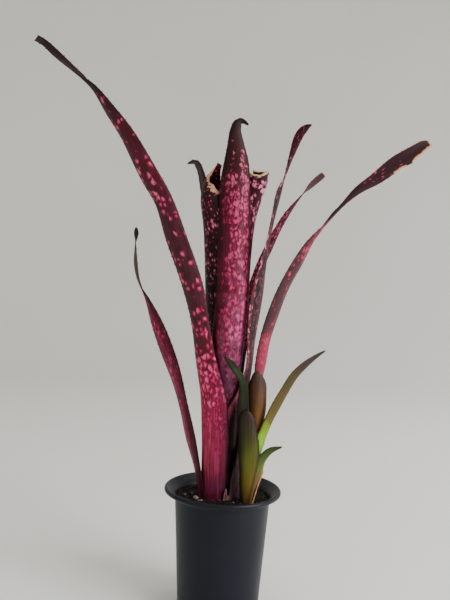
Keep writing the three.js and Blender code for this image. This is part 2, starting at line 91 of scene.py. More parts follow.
class LeafMap(Enum):
    """UV maps of a leaf."""

    MILLIMETRES = "leaf_mm"
    SHARE = "leaf_share"
    EDGE = "leaf_edge"


# General helpers


def linear(hex_colour: str) -> tuple[float, float, float, float]:
    """Turn an sRGB hex colour to linear RGBA.

    Args:
        hex_colour: Colour such as "#6b2540".

    Returns:
        Linear red, green, blue and an alpha of 1.
    """
    parts = [int(hex_colour[k : k + 2], 16) / 255 for k in (1, 3, 5)]
    red, green, blue = (p / 12.92 if p <= 0.04045 else ((p + 0.055) / 1.055) ** 2.4 for p in parts)
    return red, green, blue, 1.0


def smooth_step(low: float, high: float, value: float) -> float:
    """Rise smoothly from 0 at low to 1 at high.

    Args:
        low: Value where the step starts.
        high: Value where the step ends.
        value: Value to place on the step.

    Returns:
        The height of the step, from 0 to 1.
    """
    share = min(1.0, max(0.0, (value - low) / (high - low)))
    return share * share * (3 - 2 * share)


def level_at(levels: Sequence[Level], place: float) -> float:
    """Read a polyline of levels.

    Args:
        levels: Pairs of place and value, in rising order of place.
        place: Where to read.

    Returns:
        The value there, held beyond both ends.
    """
    if place <= levels[0][0]:
        return levels[0][1]
    for (low, start), (high, end) in zip(levels, levels[1:]):
        if place <= high:
            return start + (end - start) * (place - low) / (high - low)
    return levels[-1][1]


def mesh_object(
    name: str, bm: bmesh.types.BMesh, materials: Iterable[bpy.types.Material]
) -> bpy.types.Object:
    """Turn a bmesh in millimetres into a smooth shaded object in metres.

    Args:
        name: Name of the piece.
        bm: The mesh, which is freed.
        materials: Materials in the order of the faces' material indices.

    Returns:
        The new object, linked to the scene.
    """
    bmesh.ops.scale(bm, vec=(MM, MM, MM), verts=bm.verts)
    for face in bm.faces:
        face.smooth = True
    mesh = bpy.data.meshes.new(name)
    bm.to_mesh(mesh)
    bm.free()
    for material in materials:
        mesh.materials.append(material)
    piece = bpy.data.objects.new(name, mesh)
    bpy.context.scene.collection.objects.link(piece)
    return piece


def settle(piece: bpy.types.Object, replaced: Sequence[str] = ()) -> bpy.types.Object:
    """Let a finished piece ride on the part and say what it stands for.

    Args:
        piece: The finished piece.
        replaced: CAD nodes that it stands for.

    Returns:
        The same piece.
    """
    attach(piece, BODY)
    if replaced:
        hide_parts(*replaced)
    faces = len(piece.data.polygons)
    LOG.info("%s: %d faces, replaces %s", piece.name, faces, list(replaced) or "nothing")
    return piece


def finished(
    name: str,
    bm: bmesh.types.BMesh,
    finishes: Sequence[Any],
    replaced: Sequence[str] = (),
) -> bpy.types.Object:
    """Turn a mesh's faces outwards and make it a dressed piece that rides on the part.

    Args:
        name: Name of the piece.
        bm: The mesh in millimetres, which is freed.
        finishes: Finishes in the order of the faces' material indices.
        replaced: CAD nodes that it stands for.

    Returns:
        The piece.
    """
    bmesh.ops.recalc_face_normals(bm, faces=bm.faces)
    return settle(mesh_object(name, bm, map(dressed, finishes)), replaced)


def spun(bm: bmesh.types.BMesh, section: Sequence[tuple[float, float]], turns: int) -> None:
    """Spin a section of radius and height once round the upright axis and weld it.

    Args:
        bm: The mesh to add to.
        section: Pairs of radius and height in mm.
        turns: Steps of the full turn.
    """
    ring = [bm.verts.new((radius, 0, height)) for radius, height in section]
    edges = [bm.edges.new(pair) for pair in zip(ring, ring[1:])]
    axis = {"cent": (0, 0, 0), "axis": (0, 0, 1)}
    bmesh.ops.spin(
        bm, geom=[*ring, *edges], **axis, angle=math.tau, steps=turns, use_merge=True
    )
    bmesh.ops.remove_doubles(bm, verts=bm.verts, dist=WELD / MM)


def dressed(finish: Any) -> bpy.types.Material:
    """Give a finish's material, which is built the first time that it is asked for."""
    return bpy.data.materials.get(finish.name) or finish.dress()


# Materials


@dataclass
class NodeSheet:
    """A material's node tree."""

    COLUMN_WIDTH: ClassVar[int] = 180

    material: bpy.types.Material
    column: int = 0

    @classmethod
    def start(cls, name: str) -> NodeSheet:
        """Open an empty sheet for a new material."""
        material = bpy.data.materials.new(name)
        material.use_nodes = True
        material.node_tree.nodes.clear()
        return cls(material)

    def add(
        self,
        kind: str,
        links: dict[Any, Any] | None = None,
        stops: Sequence[Stop] = (),
        **settings: Any,
    ) -> bpy.types.Node:
        """Add a node with its settings and links.

        Args:
            kind: Node type without the ShaderNode prefix.
            links: For input sockets by name or number: a value, an sRGB hex colour, an output
                socket, or a node, which stands for its first output in use. A Map Range node
                takes its value at 0, its From bounds at 1 and 2 and its To bounds at 3 and 4. A
                Mix node takes its share at 0 and its colours at 6 and 7.
            stops: Places from 0 to 1 on a colour ramp, each with a hex colour or a grey level.
            settings: Attributes of the node.

        Returns:
            The new node.
        """
        tree = self.material.node_tree
        made = tree.nodes.new("ShaderNode" + kind)
        made.location = (self.column * self.COLUMN_WIDTH, 0)
        self.column += 1
        for key, value in settings.items():
            setattr(made, key, value)
        for key, value in (links or {}).items():
            if isinstance(value, bpy.types.Node):
                value = next(output for output in value.outputs if output.enabled)
            if isinstance(value, bpy.types.NodeSocket):
                tree.links.new(value, made.inputs[key])
            else:
                made.inputs[key].default_value = linear(value) if isinstance(value, str) else value
        for count, (place, value) in enumerate(stops):
            marks = made.color_ramp.elements
            mark = marks[count] if count < len(marks) else marks.new(place)
            mark.position = place
            mark.color = linear(value) if isinstance(value, str) else (value, value, value, 1.0)
        return made

    def finish(self, **inputs: Any) -> bpy.types.Material:
        """Close the sheet with a Principled surface.

        Args:
            inputs: Values, colours or nodes by input name, with underscores for spaces.

        Returns:
            The finished material.
        """
        sockets = {key.replace("_", " "): value for key, value in inputs.items()}
        shader = self.add("BsdfPrincipled", sockets)
        self.add("OutputMaterial", {"Surface": shader})
        return self.material


class Pattern(Enum):
    """Uneven patterns of a leaf: features per mm across and along it, shift and octaves."""

    STREAKS = (0.5, 0.03, 0, 4.0)
    DASHES = (1.1, 0.16, 4, 3.0)
    BANDS = (0.15, 0.08, 8, 5.0)
    VEINS = (1.1, 0.012, 0, 2.0)
    PUSH = (0.14, 0.08, 0, 3.0)
    PATCHES = (0.07, 0.05, 12, 3.0)
    BREAKS = (0.22, 0.14, 3, 3.0)
    GRAIN = (0.55, 0.28, 2, 4.0)
    RAGGED = (0.28, 0.28, 0, 4.0)
    FIBRE = (0.9, 0.3, 6, 3.0)
    SHOOT_VEINS = (0.9, 0.03, 0, 3.0)
    SHOOT_CLOUD = (0.12, 0.06, 5, 4.0)


class Fade(Enum):
    """Where a mark starts and ends on its pattern, and its strengths there, else 0 and 1."""

    PALE_LINES = (0.54, 0.34)
    DARK_LINES = (0.42, 0.66, 0.0)
    RED_DASHES = (0.46, 0.62, 0.0, 0.75)
    RIM = (-0.12, 0.02)
    SPOT = (-0.03, 0.3)
    HEART = (0.2, 0.5, 0.0, 0.6)
    SCALES = (0.38, 0.62)
    PATCHES = (0.35, 0.65, 0.72, 1.2)
    BREAKS = (0.4, 0.6, 0.16, -0.28)
    SOFT_GRAIN = (0.2, 1.0, 3.2)
    STRAW_FIBRE = (0.35, 0.65, 0.45, 0.0)
    DARK_VEINS = (0.5, 0.66, 0.0, 0.12)
    PALE_VEINS = (0.5, 0.36, 0.0, 0.06)
    MARGIN_LINE = (0.9, 0.2, 0.0, 0.75)
    WAX_ROUGHNESS = (0.3, 0.7, 0.42, 0.6)
    SPLASH = (0.125, 0.1, 0.16, 0.05)
    DUST = (0.5, 0.75)
    SATIN_ROUGHNESS = (0.3, 0.7, 0.36, 0.46)
    MOTTLE = (0.35, 0.68)
    FIBRE_LINES = (0.35, 0.65)
    PAPER = (0.3, 0.7)

    @property
    def sockets(self) -> dict[int, float]:
        """Values by input of a Map Range node."""
        return dict(enumerate(self.value, 1))


@dataclass(frozen=True)
class LeafPlaces:
    """Where a point lies on a leaf, as nodes of a sheet.

    Attributes:
        sheet: The sheet that they are drawn on.
        seed: Shift of the patterns.
        flat: Place on the flattened leaf, in mm.
        across: Share of the way from the left margin to the right one, seen from outside.
        along: Share of the way from the foot to the tip.
        margin: Distance to the nearer margin, in mm.
        torn: Distance to the nearest torn edge or to the end, in mm.
    """

    sheet: NodeSheet
    seed: float
    flat: Any
    across: Any
    along: Any
    margin: Any
    torn: Any

    @classmethod
    def on(cls, sheet: NodeSheet, seed: float) -> LeafPlaces:
        """Read the maps of the leaf on a sheet."""
        flat, share, edge = (sheet.add("UVMap", uv_map=key.value) for key in LeafMap)
        shares, edges = (sheet.add("SeparateXYZ", {0: node}).outputs for node in (share, edge))
        return cls(sheet, seed, flat, shares[0], shares[1], edges[0], edges[1])

    def noise(self, pattern: Pattern) -> bpy.types.Node:
        """Lay an uneven pattern over the flattened leaf."""
        across, along, apart, detail = pattern.value
        shift = self.seed + apart
        place = {"Scale": (across, along, 1), "Location": (shift, shift / 3, 0)}
        spread = self.sheet.add("Mapping", {"Vector": self.flat, **place})
        return self.sheet.add("TexNoise", {"Vector": spread, "Scale": 1.0, "Detail": detail})


@dataclass(frozen=True, kw_only=True)
class Skin:
    """What the skins of both shoots share: waxy tissue with veins along it, darker margins and
    painted shade.

    The wax gives a broad soft gloss. Veins are drawn 0.9 mm apart, since finer ones don't show.

    Attributes:
        name: Name of the material.
        ground: Colour along the leaf, from its foot to its tip.
        painted_shade: Places along the leaf, each with colours across it that the skin is
            multiplied by, which is painted shade: darker towards the margins and low in the tube,
            where less light falls.
        margin: Colour of the thin line along the margins.
        seed: Shift of the patterns.
    """

    VEIN_RELIEF_M: ClassVar[float] = 0.0005
    VEIN_STRENGTH: ClassVar[float] = 0.3
    WAX_IOR: ClassVar[float] = 1.45
    WAX_SPECULAR: ClassVar[float] = 0.2

    name: str
    ground: tuple[Stop, ...]
    painted_shade: tuple[tuple[float, tuple[Stop, ...]], ...] = ()
    margin: str = "#1e0a0e"
    seed: float = 0.0

    def add_painted_shade(self, colour: Any, places: LeafPlaces) -> Any:
        """Multiply a colour by the painted shade across the leaf, which changes along it."""
        # Painted shade: rows of colours across the leaf, darker where less light falls, blended
        # along it
        shade, before = None, 0.0
        for along, stops in self.painted_shade:
            row = places.sheet.add("ValToRGB", {0: places.across}, stops=stops)
            if shade is not None:
                share = places.sheet.add("MapRange", {0: places.along, 1: before, 2: along})
                row = places.sheet.add("Mix", {0: share, 6: shade, 7: row}, data_type="RGBA")
            shade, before = row, along
        if shade is None:
            return colour
        both = {0: 1.0, 6: colour, 7: shade}
        return places.sheet.add("Mix", both, data_type="RGBA", blend_type="MULTIPLY")

    def closed(self, colour: Any, places: LeafPlaces, veins: Any, gloss: Any) -> bpy.types.Material:
        """Close the sheet with the leaf's wax and veins.

        Args:
            colour: Colour of the skin.
            places: Where a point lies on the leaf.
            veins: Pattern that stands for the veins.
            gloss: Pattern that makes the wax uneven.

        Returns:
            The finished material.
        """
        sheet = places.sheet
        line = sheet.add("MapRange", {0: places.margin, **Fade.MARGIN_LINE.sockets})
        colour = sheet.add("Mix", {0: line, 6: colour, 7: self.margin}, data_type="RGBA")
        relief = {"Strength": self.VEIN_STRENGTH, "Distance": self.VEIN_RELIEF_M}
        return sheet.finish(
            Base_Color=colour,
            Roughness=sheet.add("MapRange", {0: gloss, **Fade.WAX_ROUGHNESS.sockets}),
            Normal=sheet.add("Bump", {**relief, "Height": veins}),
            IOR=self.WAX_IOR,
            Specular_IOR_Level=self.WAX_SPECULAR,
        )


@dataclass(frozen=True, kw_only=True)
class SpottedSkin(Skin):
    """Living skin of a spotted leaf: maroon from red sap, with pale spots that hold no pigment.

    The spots are ovals of 2 to 4 mm with red rims and paler hearts, which a dark net keeps apart
    where they are dense. Grey scales haze the older parts, and torn edges have dried to straw.

    Attributes:
        spot: Colour of the spots, along the leaf.
        cover: How much of the leaf is spots, along the leaf.
        cover_across: Factor on the cover, from the left margin to the right one.
        sharp: Sharpness of the spots' edges, along the leaf.
        rim: Colour of the spots' rims.
        heart: Colour of the middles of the largest spots.
        haze: Strength of the grey scales, along the leaf.
        haze_tone: Colour of the grey scales.
        streak: Strength of the dark streaks along the leaf.
        blush: Strength of the pale streaks, along the leaf.
        size: Width of a spot's place in mm.
        slender: Length of that place over its width.
        jitter: How far spots stand out of line, from 0 to 1.
        wander: How far spots are pushed out of shape, in widths of a spot's place.
        grain: How far fine unevenness eats into the spots.
        dried: Width of the dried tissue at a torn edge, in mm.
        dried_tone: Colour of the dried tissue.
    """

    STREAK_TONE: ClassVar[str] = "#16060c"
    FIBRE_TONE: ClassVar[str] = "#a86a50"
    BURNT_TONE: ClassVar[str] = "#280c0e"
    # A spot's radius in widths of its place: cover times growth, plus shrinkage, plus spread
    # times a random rank
    GROWTH: ClassVar[float] = 1.35
    SHRINKAGE: ClassVar[float] = -0.08
    SPREAD: ClassVar[float] = -0.85
    # How fast a spot fades at the wall of its place, and how far dried tissue wanders
    WALL: ClassVar[float] = 1.5
    RAGGED: ClassVar[float] = -2.2
    SEED_SHIFT: ClassVar[float] = 1.7

    spot: tuple[Stop, ...]
    cover: tuple[Stop, ...]
    cover_across: tuple[Stop, ...] = ((0.0, 1.0), (1.0, 1.0))
    sharp: tuple[Stop, ...] = ((0.0, 1.0), (1.0, 1.0))
    rim: str = "#7c0a34"
    heart: str = "#e8a4b4"
    haze: tuple[Stop, ...] = ((0.0, 0.1), (1.0, 0.0))
    haze_tone: str = "#8a6c7c"
    streak: float = 0.5
    blush: tuple[Stop, ...] = ((0.0, 0.0), (1.0, 0.0))
    size: float = 3.4
    slender: float = 1.6
    jitter: float = 0.9
    wander: float = 2.0
    grain: float = 1.4
    dried: float = 0.0
    dried_tone: str = "#dcae82"

    def dress(self) -> bpy.types.Material:
        """Build the material."""
        sheet = NodeSheet.start(self.name)
        places = LeafPlaces.on(sheet, self.seed)
        kinds = (Pattern.STREAKS, Pattern.DASHES, Pattern.BANDS, Pattern.VEINS)
        streaks, dashes, bands, veins = (places.noise(kind) for kind in kinds)
        ramps = (self.ground, self.spot, self.haze, self.blush)
        ground, pale, haze, blush = (
            sheet.add("ValToRGB", {0: places.along}, stops=stops) for stops in ramps
        )
        depth = self.spots(places)

        pale_lines = sheet.add("MapRange", {0: streaks, **Fade.PALE_LINES.sockets})
        pale_lines = sheet.add("Math", {0: pale_lines, 1: blush}, operation="MULTIPLY")
        strength = {4: self.streak}
        dark_lines = sheet.add("MapRange", {0: streaks, **Fade.DARK_LINES.sockets, **strength})
        red_dashes = sheet.add("MapRange", {0: dashes, **Fade.RED_DASHES.sockets})
        in_rim, in_spot, in_heart = (
            sheet.add("MapRange", {0: depth, **fade.sockets}, interpolation_type="SMOOTHSTEP")
            for fade in (Fade.RIM, Fade.SPOT, Fade.HEART)
        )
        scales = sheet.add("MapRange", {0: bands, **Fade.SCALES.sockets})
        scales = sheet.add("Math", {0: scales, 1: haze}, operation="MULTIPLY")
        dashed = sheet.add("Mix", {0: red_dashes, 6: pale, 7: self.rim}, data_type="RGBA")

        colour = ground
        for share, tone in (
            (pale_lines, pale),
            (dark_lines, self.STREAK_TONE),
            (in_rim, self.rim),
            (in_spot, dashed),
            (in_heart, self.heart),
            (scales, self.haze_tone),
        ):
            colour = sheet.add("Mix", {0: share, 6: colour, 7: tone}, data_type="RGBA")
        colour = self.add_painted_shade(colour, places)
        if self.dried:
            colour = self.dried_edge(colour, places)
        return self.closed(colour, places, veins, bands)

    def spots(self, places: LeafPlaces) -> bpy.types.Node:
        """Draw a field that is above zero inside a spot and rises towards its middle."""
        sheet = places.sheet
        push = places.noise(Pattern.PUSH).outputs["Color"]
        push = sheet.add("VectorMath", {0: push, 1: (0.5, 0.5, 0.5)}, operation="SUBTRACT")
        reach = {"Scale": self.size * self.wander}
        push = sheet.add("VectorMath", {0: push, **reach}, operation="SCALE")
        moved = sheet.add("VectorMath", {0: places.flat, 1: push}, operation="ADD")
        cell = {
            "Scale": (1 / self.size, 1 / (self.size * self.slender), 1),
            "Location": (self.seed * self.SEED_SHIFT, self.seed, 0),
        }
        spread = sheet.add("Mapping", {"Vector": moved, **cell})
        cells = {"Vector": spread, "Scale": 1.0, "Randomness": self.jitter}
        wells, walls = (
            sheet.add("TexVoronoi", cells, feature=kind, voronoi_dimensions="2D")
            for kind in ("F1", "DISTANCE_TO_EDGE")
        )
        rank = sheet.add("SeparateColor", {0: wells.outputs["Color"]})
        cover = sheet.add("ValToRGB", {0: places.along}, stops=self.cover)
        crosswise = sheet.add("ValToRGB", {0: places.across}, stops=self.cover_across)
        patches = places.noise(Pattern.PATCHES)
        patches = sheet.add("MapRange", {0: patches, **Fade.PATCHES.sockets})
        for factor in (crosswise, patches):
            cover = sheet.add("Math", {0: cover, 1: factor}, operation="MULTIPLY")
        growth = {1: self.GROWTH, 2: self.SHRINKAGE}
        radius = sheet.add("Math", {0: cover, **growth}, operation="MULTIPLY_ADD")
        radius = sheet.add("Math", {0: rank, 1: self.SPREAD, 2: radius}, operation="MULTIPLY_ADD")
        distance = wells.outputs["Distance"]
        inside = sheet.add("Math", {0: radius, 1: distance}, operation="SUBTRACT")
        broken = sheet.add("MapRange", {0: places.noise(Pattern.BREAKS), **Fade.BREAKS.sockets})
        clear = {0: walls.outputs["Distance"], 1: self.WALL, 2: broken}
        clear = sheet.add("Math", clear, operation="MULTIPLY_ADD")
        depth = sheet.add("Math", {0: inside, 1: clear}, operation="MINIMUM")
        sharp = sheet.add("ValToRGB", {0: places.along}, stops=self.sharp)
        grain = sheet.add("Math", {0: places.noise(Pattern.GRAIN), 1: 0.5}, operation="SUBTRACT")
        rough = sheet.add("MapRange", {0: sharp, **Fade.SOFT_GRAIN.sockets, 4: self.grain})
        depth = sheet.add("Math", {0: grain, 1: rough, 2: depth}, operation="MULTIPLY_ADD")
        return sheet.add("Math", {0: depth, 1: sharp}, operation="MULTIPLY")

    def dried_edge(self, colour: Any, places: LeafPlaces) -> bpy.types.Node:
        """Turn the tissue along torn edges to dry straw with a dark line behind it."""
        sheet = places.sheet
        ragged = sheet.add("Math", {0: places.noise(Pattern.RAGGED), 1: 0.5}, operation="SUBTRACT")
        reach = {0: ragged, 1: self.RAGGED * self.dried, 2: places.torn}
        reach = sheet.add("Math", reach, operation="MULTIPLY_ADD")
        fibre = sheet.add("MapRange", {0: places.noise(Pattern.FIBRE), **Fade.STRAW_FIBRE.sockets})
        straw = {0: fibre, 6: self.dried_tone, 7: self.FIBRE_TONE}
        straw = sheet.add("Mix", straw, data_type="RGBA")
        # Where the dark line and the straw are whole and gone, in widths, with strength and colour
        lines = ((1.0, 1.6, 0.85, self.BURNT_TONE), (0.8, 1.0, 1.0, straw))
        for near, far, strength, tone in lines:
            bounds = {1: self.dried * far, 2: self.dried * near, 3: 0.0, 4: strength}
            share = {0: reach, **bounds}
            share = sheet.add("MapRange", share, interpolation_type="SMOOTHSTEP")
            colour = sheet.add("Mix", {0: share, 6: colour, 7: tone}, data_type="RGBA")
        return colour


@dataclass(frozen=True, kw_only=True)
class PlainSkin(Skin):
    """Unspotted skin of the side shoot: green to ochre with a brown-purple blush."""

    CLOUD_SHIFT: ClassVar[float] = 0.16
    DARK_VEIN_TONE: ClassVar[str] = "#1c140a"
    PALE_VEIN_TONE: ClassVar[str] = "#b09048"

    def dress(self) -> bpy.types.Material:
        """Build the material."""
        sheet = NodeSheet.start(self.name)
        places = LeafPlaces.on(sheet, self.seed)
        veins = places.noise(Pattern.SHOOT_VEINS)
        cloud = places.noise(Pattern.SHOOT_CLOUD)
        shift = {1: self.CLOUD_SHIFT, 2: -self.CLOUD_SHIFT / 2}
        wander = sheet.add("Math", {0: cloud, **shift}, operation="MULTIPLY_ADD")
        wander = sheet.add("Math", {0: wander, 1: places.along}, operation="ADD")
        colour = sheet.add("ValToRGB", {0: wander}, stops=self.ground)
        dark = (Fade.DARK_VEINS, self.DARK_VEIN_TONE)
        pale = (Fade.PALE_VEINS, self.PALE_VEIN_TONE)
        for fade, tone in (dark, pale):
            share = sheet.add("MapRange", {0: veins, **fade.sockets})
            colour = sheet.add("Mix", {0: share, 6: colour, 7: tone}, data_type="RGBA")
        return self.closed(self.add_painted_shade(colour, places), places, veins, cloud)


@dataclass(frozen=True)
class MouldedPolypropylene:
    """Charcoal polypropylene, injection moulded: satin with a faint grain and a little dust."""

    SMUDGES_PER_M: ClassVar[float] = 28.0
    GRAIN_RELIEF_M: ClassVar[float] = 0.0002

    name: str = "moulded_polypropylene"
    body: str = "#0f111c"
    dust: str = "#2c2e3a"
    grain_mm: float = 0.8

    def dress(self) -> bpy.types.Material:
        """Build the material."""
        sheet = NodeSheet.start(self.name)
        place = sheet.add("TexCoord").outputs["Object"]
        fine = {"Scale": 1 / (self.grain_mm * MM), "Detail": 2.0}
        grain = sheet.add("TexNoise", {"Vector": place, **fine})
        broad = {"Scale": self.SMUDGES_PER_M, "Detail": 6.0, "Roughness": 0.65}
        smudge = sheet.add("TexNoise", {"Vector": place, **broad})
        height = sheet.add("SeparateXYZ", {0: place}).outputs[2]
        splash = sheet.add("MapRange", {0: height, **Fade.SPLASH.sockets})
        dusty = sheet.add("MapRange", {0: smudge, **Fade.DUST.sockets})
        dusty = sheet.add("Math", {0: dusty, 1: splash}, operation="MULTIPLY")
        relief = {"Strength": 0.25, "Distance": self.GRAIN_RELIEF_M, "Height": grain}
        return sheet.finish(
            Base_Color=sheet.add("Mix", {0: dusty, 6: self.body, 7: self.dust}, data_type="RGBA"),
            Roughness=sheet.add("MapRange", {0: smudge, **Fade.SATIN_ROUGHNESS.sockets}),
            Normal=sheet.add("Bump", relief),
            IOR=1.49,
            Specular_IOR_Level=0.2,
        )


@dataclass(frozen=True)
class LooseMatter:
    """Matt natural matter such as peat, bark or pumice, with mottled colour and a rough skin.

    Attributes:
        name: Name of the material.
        dark: Colour of its hollows.
        light: Colour of its high spots.
        grain_mm: Size of its mottling.
        depth_mm: Depth of its roughness.
    """

    name: str
    dark: str
    light: str
    grain_mm: float
    depth_mm: float = 0.5

    def dress(self) -> bpy.types.Material:
        """Build the material."""
        sheet = NodeSheet.start(self.name)
        place = sheet.add("TexCoord").outputs["Object"]
        grain = {"Scale": 1 / (self.grain_mm * MM), "Detail": 6.0, "Roughness": 0.7}
        mottle = sheet.add("TexNoise", {"Vector": place, **grain})
        share = {0: mottle, **Fade.MOTTLE.sockets}
        share = sheet.add("MapRange", share, interpolation_type="SMOOTHSTEP")
        relief = {"Strength": 0.8, "Distance": self.depth_mm * MM, "Height": mottle}
        return sheet.finish(
            Base_Color=sheet.add("Mix", {0: share, 6: self.dark, 7: self.light}, data_type="RGBA"),
            Roughness=0.9,
            Normal=sheet.add("Bump", relief),
            IOR=1.4,
            Specular_IOR_Level=0.3,
        )


@dataclass(frozen=True)
class DryFibre:
    """Dry plant fibre: straw-coloured, with darker lines along its length.

    Attributes:
        name: Name of the material.
        dark: Colour of the lines.
        light: Colour between them.
    """

    LINES_PER_M: ClassVar[Place] = (1400, 1400, 90)
    LINE_RELIEF_M: ClassVar[float] = 0.0002

    name: str
    dark: str
    light: str

    def dress(self) -> bpy.types.Material:
        """Build the material."""
        sheet = NodeSheet.start(self.name)
        place = sheet.add("TexCoord").outputs["Object"]
        spread = sheet.add("Mapping", {"Vector": place, "Scale": self.LINES_PER_M})
        lines = sheet.add("TexNoise", {"Vector": spread, "Scale": 1.0, "Detail": 3.0})
        share = sheet.add("MapRange", {0: lines, **Fade.FIBRE_LINES.sockets})
        relief = {"Strength": 0.5, "Distance": self.LINE_RELIEF_M, "Height": lines}
        return sheet.finish(
            Base_Color=sheet.add("Mix", {0: share, 6: self.dark, 7: self.light}, data_type="RGBA"),
            Roughness=0.7,
            Normal=sheet.add("Bump", relief),
            IOR=1.45,
            Specular_IOR_Level=0.35,
        )


# Leaves


@dataclass(frozen=True)
class Station:
    """A section of a leaf: its middle, its directions and the arc that it follows."""

    place: Vector
    along: Vector
    across: Vector
    inward: Vector
    half: float
    radius: float

    @property
    def half_width(self) -> float:
        """Half the leaf's width, measured along the section."""
        return self.radius * self.half

    def point(self, u: float) -> tuple[Vector, Vector, Vector]:
        """Point of the section for u from -1 to 1, with its inner normal and its outward side."""
        angle = u * self.half
        sine, cosine = math.sin(angle), math.cos(angle)
        place = self.place + self.across * (self.radius * sine)
        place += self.inward * (self.radius * (1 - cosine))
        facing = self.inward * cosine - self.across * sine
        sideways = self.across * cosine + self.inward * sine
        return place, facing, sideways


@dataclass(frozen=True)
class Shoot:
    """A shoot whose leaves stand in layers round an axis, as a tube.

    Attributes:
        axis: Place of the axis in the pot, in mm.
        foot: Radius of the shoot where it leaves the mix.
        heights: Heights at which the tube's sections are given.
        spread: How far the tube has widened at a height.
        first_layer: Radius of the innermost layer.
        pitch: Distance between layers.
        facet: Width of one span of a section, in degrees.
        thickness: Thickness of a leaf.
        spine_from: Height above which the margins have spines.
        spine_pitch: Distance between spines along a margin.
        spine_height: Height of a spine.
    """

    axis: tuple[float, float]
    foot: float
    heights: tuple[float, ...]
    spread: tuple[Level, ...]
    first_layer: float
    pitch: float
    facet: float
    thickness: float
    spine_from: float
    spine_pitch: float
    spine_height: float

    def sheath(self, layer: int, azimuth: float, spans: int, top: float) -> list[LeafRow]:
        """Rows of a leaf while it is still part of the tube.

        Args:
            layer: Layer of the leaf, counted from the inside.
            azimuth: Direction of its middle, in degrees from the viewer.
            spans: Width of its section, in spans.
            top: Height where it leaves the tube.

        Returns:
            The rows from the foot up.
        """
        rows = []
        angle = math.radians(azimuth)
        wrap = spans * self.facet
        for height in self.heights:
            if height > top:
                break
            radius = (self.first_layer + layer * self.pitch) * level_at(self.spread, height)
            x = self.axis[0] + radius * math.sin(angle)
            y = self.axis[1] - radius * math.cos(angle)
            rows.append((x, y, height, radius * math.radians(wrap) / 2, wrap, azimuth))
        return rows


@dataclass(frozen=True)
class TornMargin:
    """A strip torn off one margin of a leaf. Sizes in mm.

    Attributes:
        side: 1 for the left margin seen from outside, -1 for the right one.
        start: Distance from the foot where the tear starts.
        end: Distance from the foot where it ends.
        depth: How far it reaches into the leaf.
    """

    UNEVEN: ClassVar[float] = 0.6
    UNEVEN_PITCH: ClassVar[float] = 4.0

    side: int
    start: float
    end: float
    depth: float

    def depth_at(self, reach: float) -> float:
        """Depth of the tear at a distance from the foot, in mm."""
        share = (reach - self.start) / (self.end - self.start)
        if not 0 < share < 1:
            return 0.0
        pattern = Vector((reach / self.UNEVEN_PITCH, self.depth, 0.5))
        uneven = 1 + self.UNEVEN * noise.noise(pattern)
        return self.depth * math.sin(math.pi * share) ** 0.5 * uneven


@dataclass(frozen=True)
class LeafPlan:
    """Shape of one leaf, with the same rows as its solid.

    Attributes:
        node: CAD node that the leaf stands for.
        layer: Layer of the tube that it stands in.
        azimuth: Direction of its middle, in degrees from the viewer.
        spans: Width of its section in the tube, in spans.
        sheath_top: Height where it leaves the tube.
        blade: Rows (x, y, z, half width, wrap, turn) beyond the tube.
        cut: How much of the tip is gone, in mm, along the section from -1 to 1.
        ragged: How far the torn end wanders, in mm.
        curl: How far the dried edge of the torn end curls outwards, in mm.
        torn: Strips torn off the margins.
        wave: How far the margins wave, in mm.
        columns: Faces across each side of the leaf.
        seed: Shift of the leaf's unevenness.
    """

    node: str
    layer: int
    azimuth: float
    spans: int
    sheath_top: float
    blade: tuple[LeafRow, ...]
    cut: tuple[Level, ...] = ((-1.0, 0.0), (1.0, 0.0))
    ragged: float = 0.0
    curl: float = 0.0
    torn: tuple[TornMargin, ...] = ()
    wave: float = 0.5
    columns: int = 24
    seed: float = 0.0


class Midline:
    """The smooth line of sections that a leaf follows."""

    STEP_MM = 2.6

    def __init__(self, rows: Sequence[LeafRow]) -> None:
        """Work out the sections at close steps.

        Args:
            rows: Rows of the leaf from its foot to its tip.
        """
        before = tuple(2 * a - b for a, b in zip(rows[0], rows[1]))
        after = tuple(2 * a - b for a, b in zip(rows[-1], rows[-2]))
        padded = [before, *rows, after]
        self.stations: list[Station] = []
        for k in range(len(rows) - 1):
            length = (Vector(rows[k + 1][:3]) - Vector(rows[k][:3])).length
            steps = max(2, round(length / self.STEP_MM))
            self.stations += [self.station(padded[k : k + 4], i / steps) for i in range(steps)]
        self.stations.append(self.station(padded[-4:], 1.0))
        self.reach = [0.0]
        for low, high in zip(self.stations, self.stations[1:]):
            self.reach.append(self.reach[-1] + (high.place - low.place).length)

    @property
    def length(self) -> float:
        """Length of the leaf in mm."""
        return self.reach[-1]

    @staticmethod
    def station(rows: Sequence[LeafRow], t: float) -> Station:
        """Section between the two middle rows of four, on a smooth curve through them.

        Args:
            rows: Four rows that follow each other.
            t: Share of the way from the second to the third.

        Returns:
            The section.
        """
        values, slopes = [], []
        for before, start, end, after in zip(*rows):
            pull, push = (end - before) / 2, (after - start) / 2
            square = 3 * (end - start) - 2 * pull - push
            cube = 2 * (start - end) + pull + push
            values.append(start + pull * t + square * t * t + cube * t**3)
            slopes.append(pull + 2 * square * t + 3 * cube * t * t)
        along = Vector(slopes[:3]).normalized()
        across = along.cross(Vector((0, 1, 0))).normalized()
        across.rotate(Matrix.Rotation(math.radians(values[5]), 3, along))
        half = math.radians(values[4]) / 2
        inward = across.cross(along)
        return Station(Vector(values[:3]), along, across, inward, half, values[3] / half)

    def at(self, reach: float) -> Station:
        """Section at a distance along the leaf, in mm."""
        reach = min(max(reach, 0.0), self.length)
        high = min(bisect_left(self.reach, reach), len(self.reach) - 1)
        if high == 0:
            return self.stations[0]
        low = high - 1
        t = (reach - self.reach[low]) / (self.reach[high] - self.reach[low])
        a, b = self.stations[low], self.stations[high]
        return Station(
            a.place.lerp(b.place, t),
            a.along.lerp(b.along, t).normalized(),
            a.across.lerp(b.across, t).normalized(),
            a.inward.lerp(b.inward, t).normalized(),
            a.half + (b.half - a.half) * t,
            a.radius + (b.radius - a.radius) * t,
        )


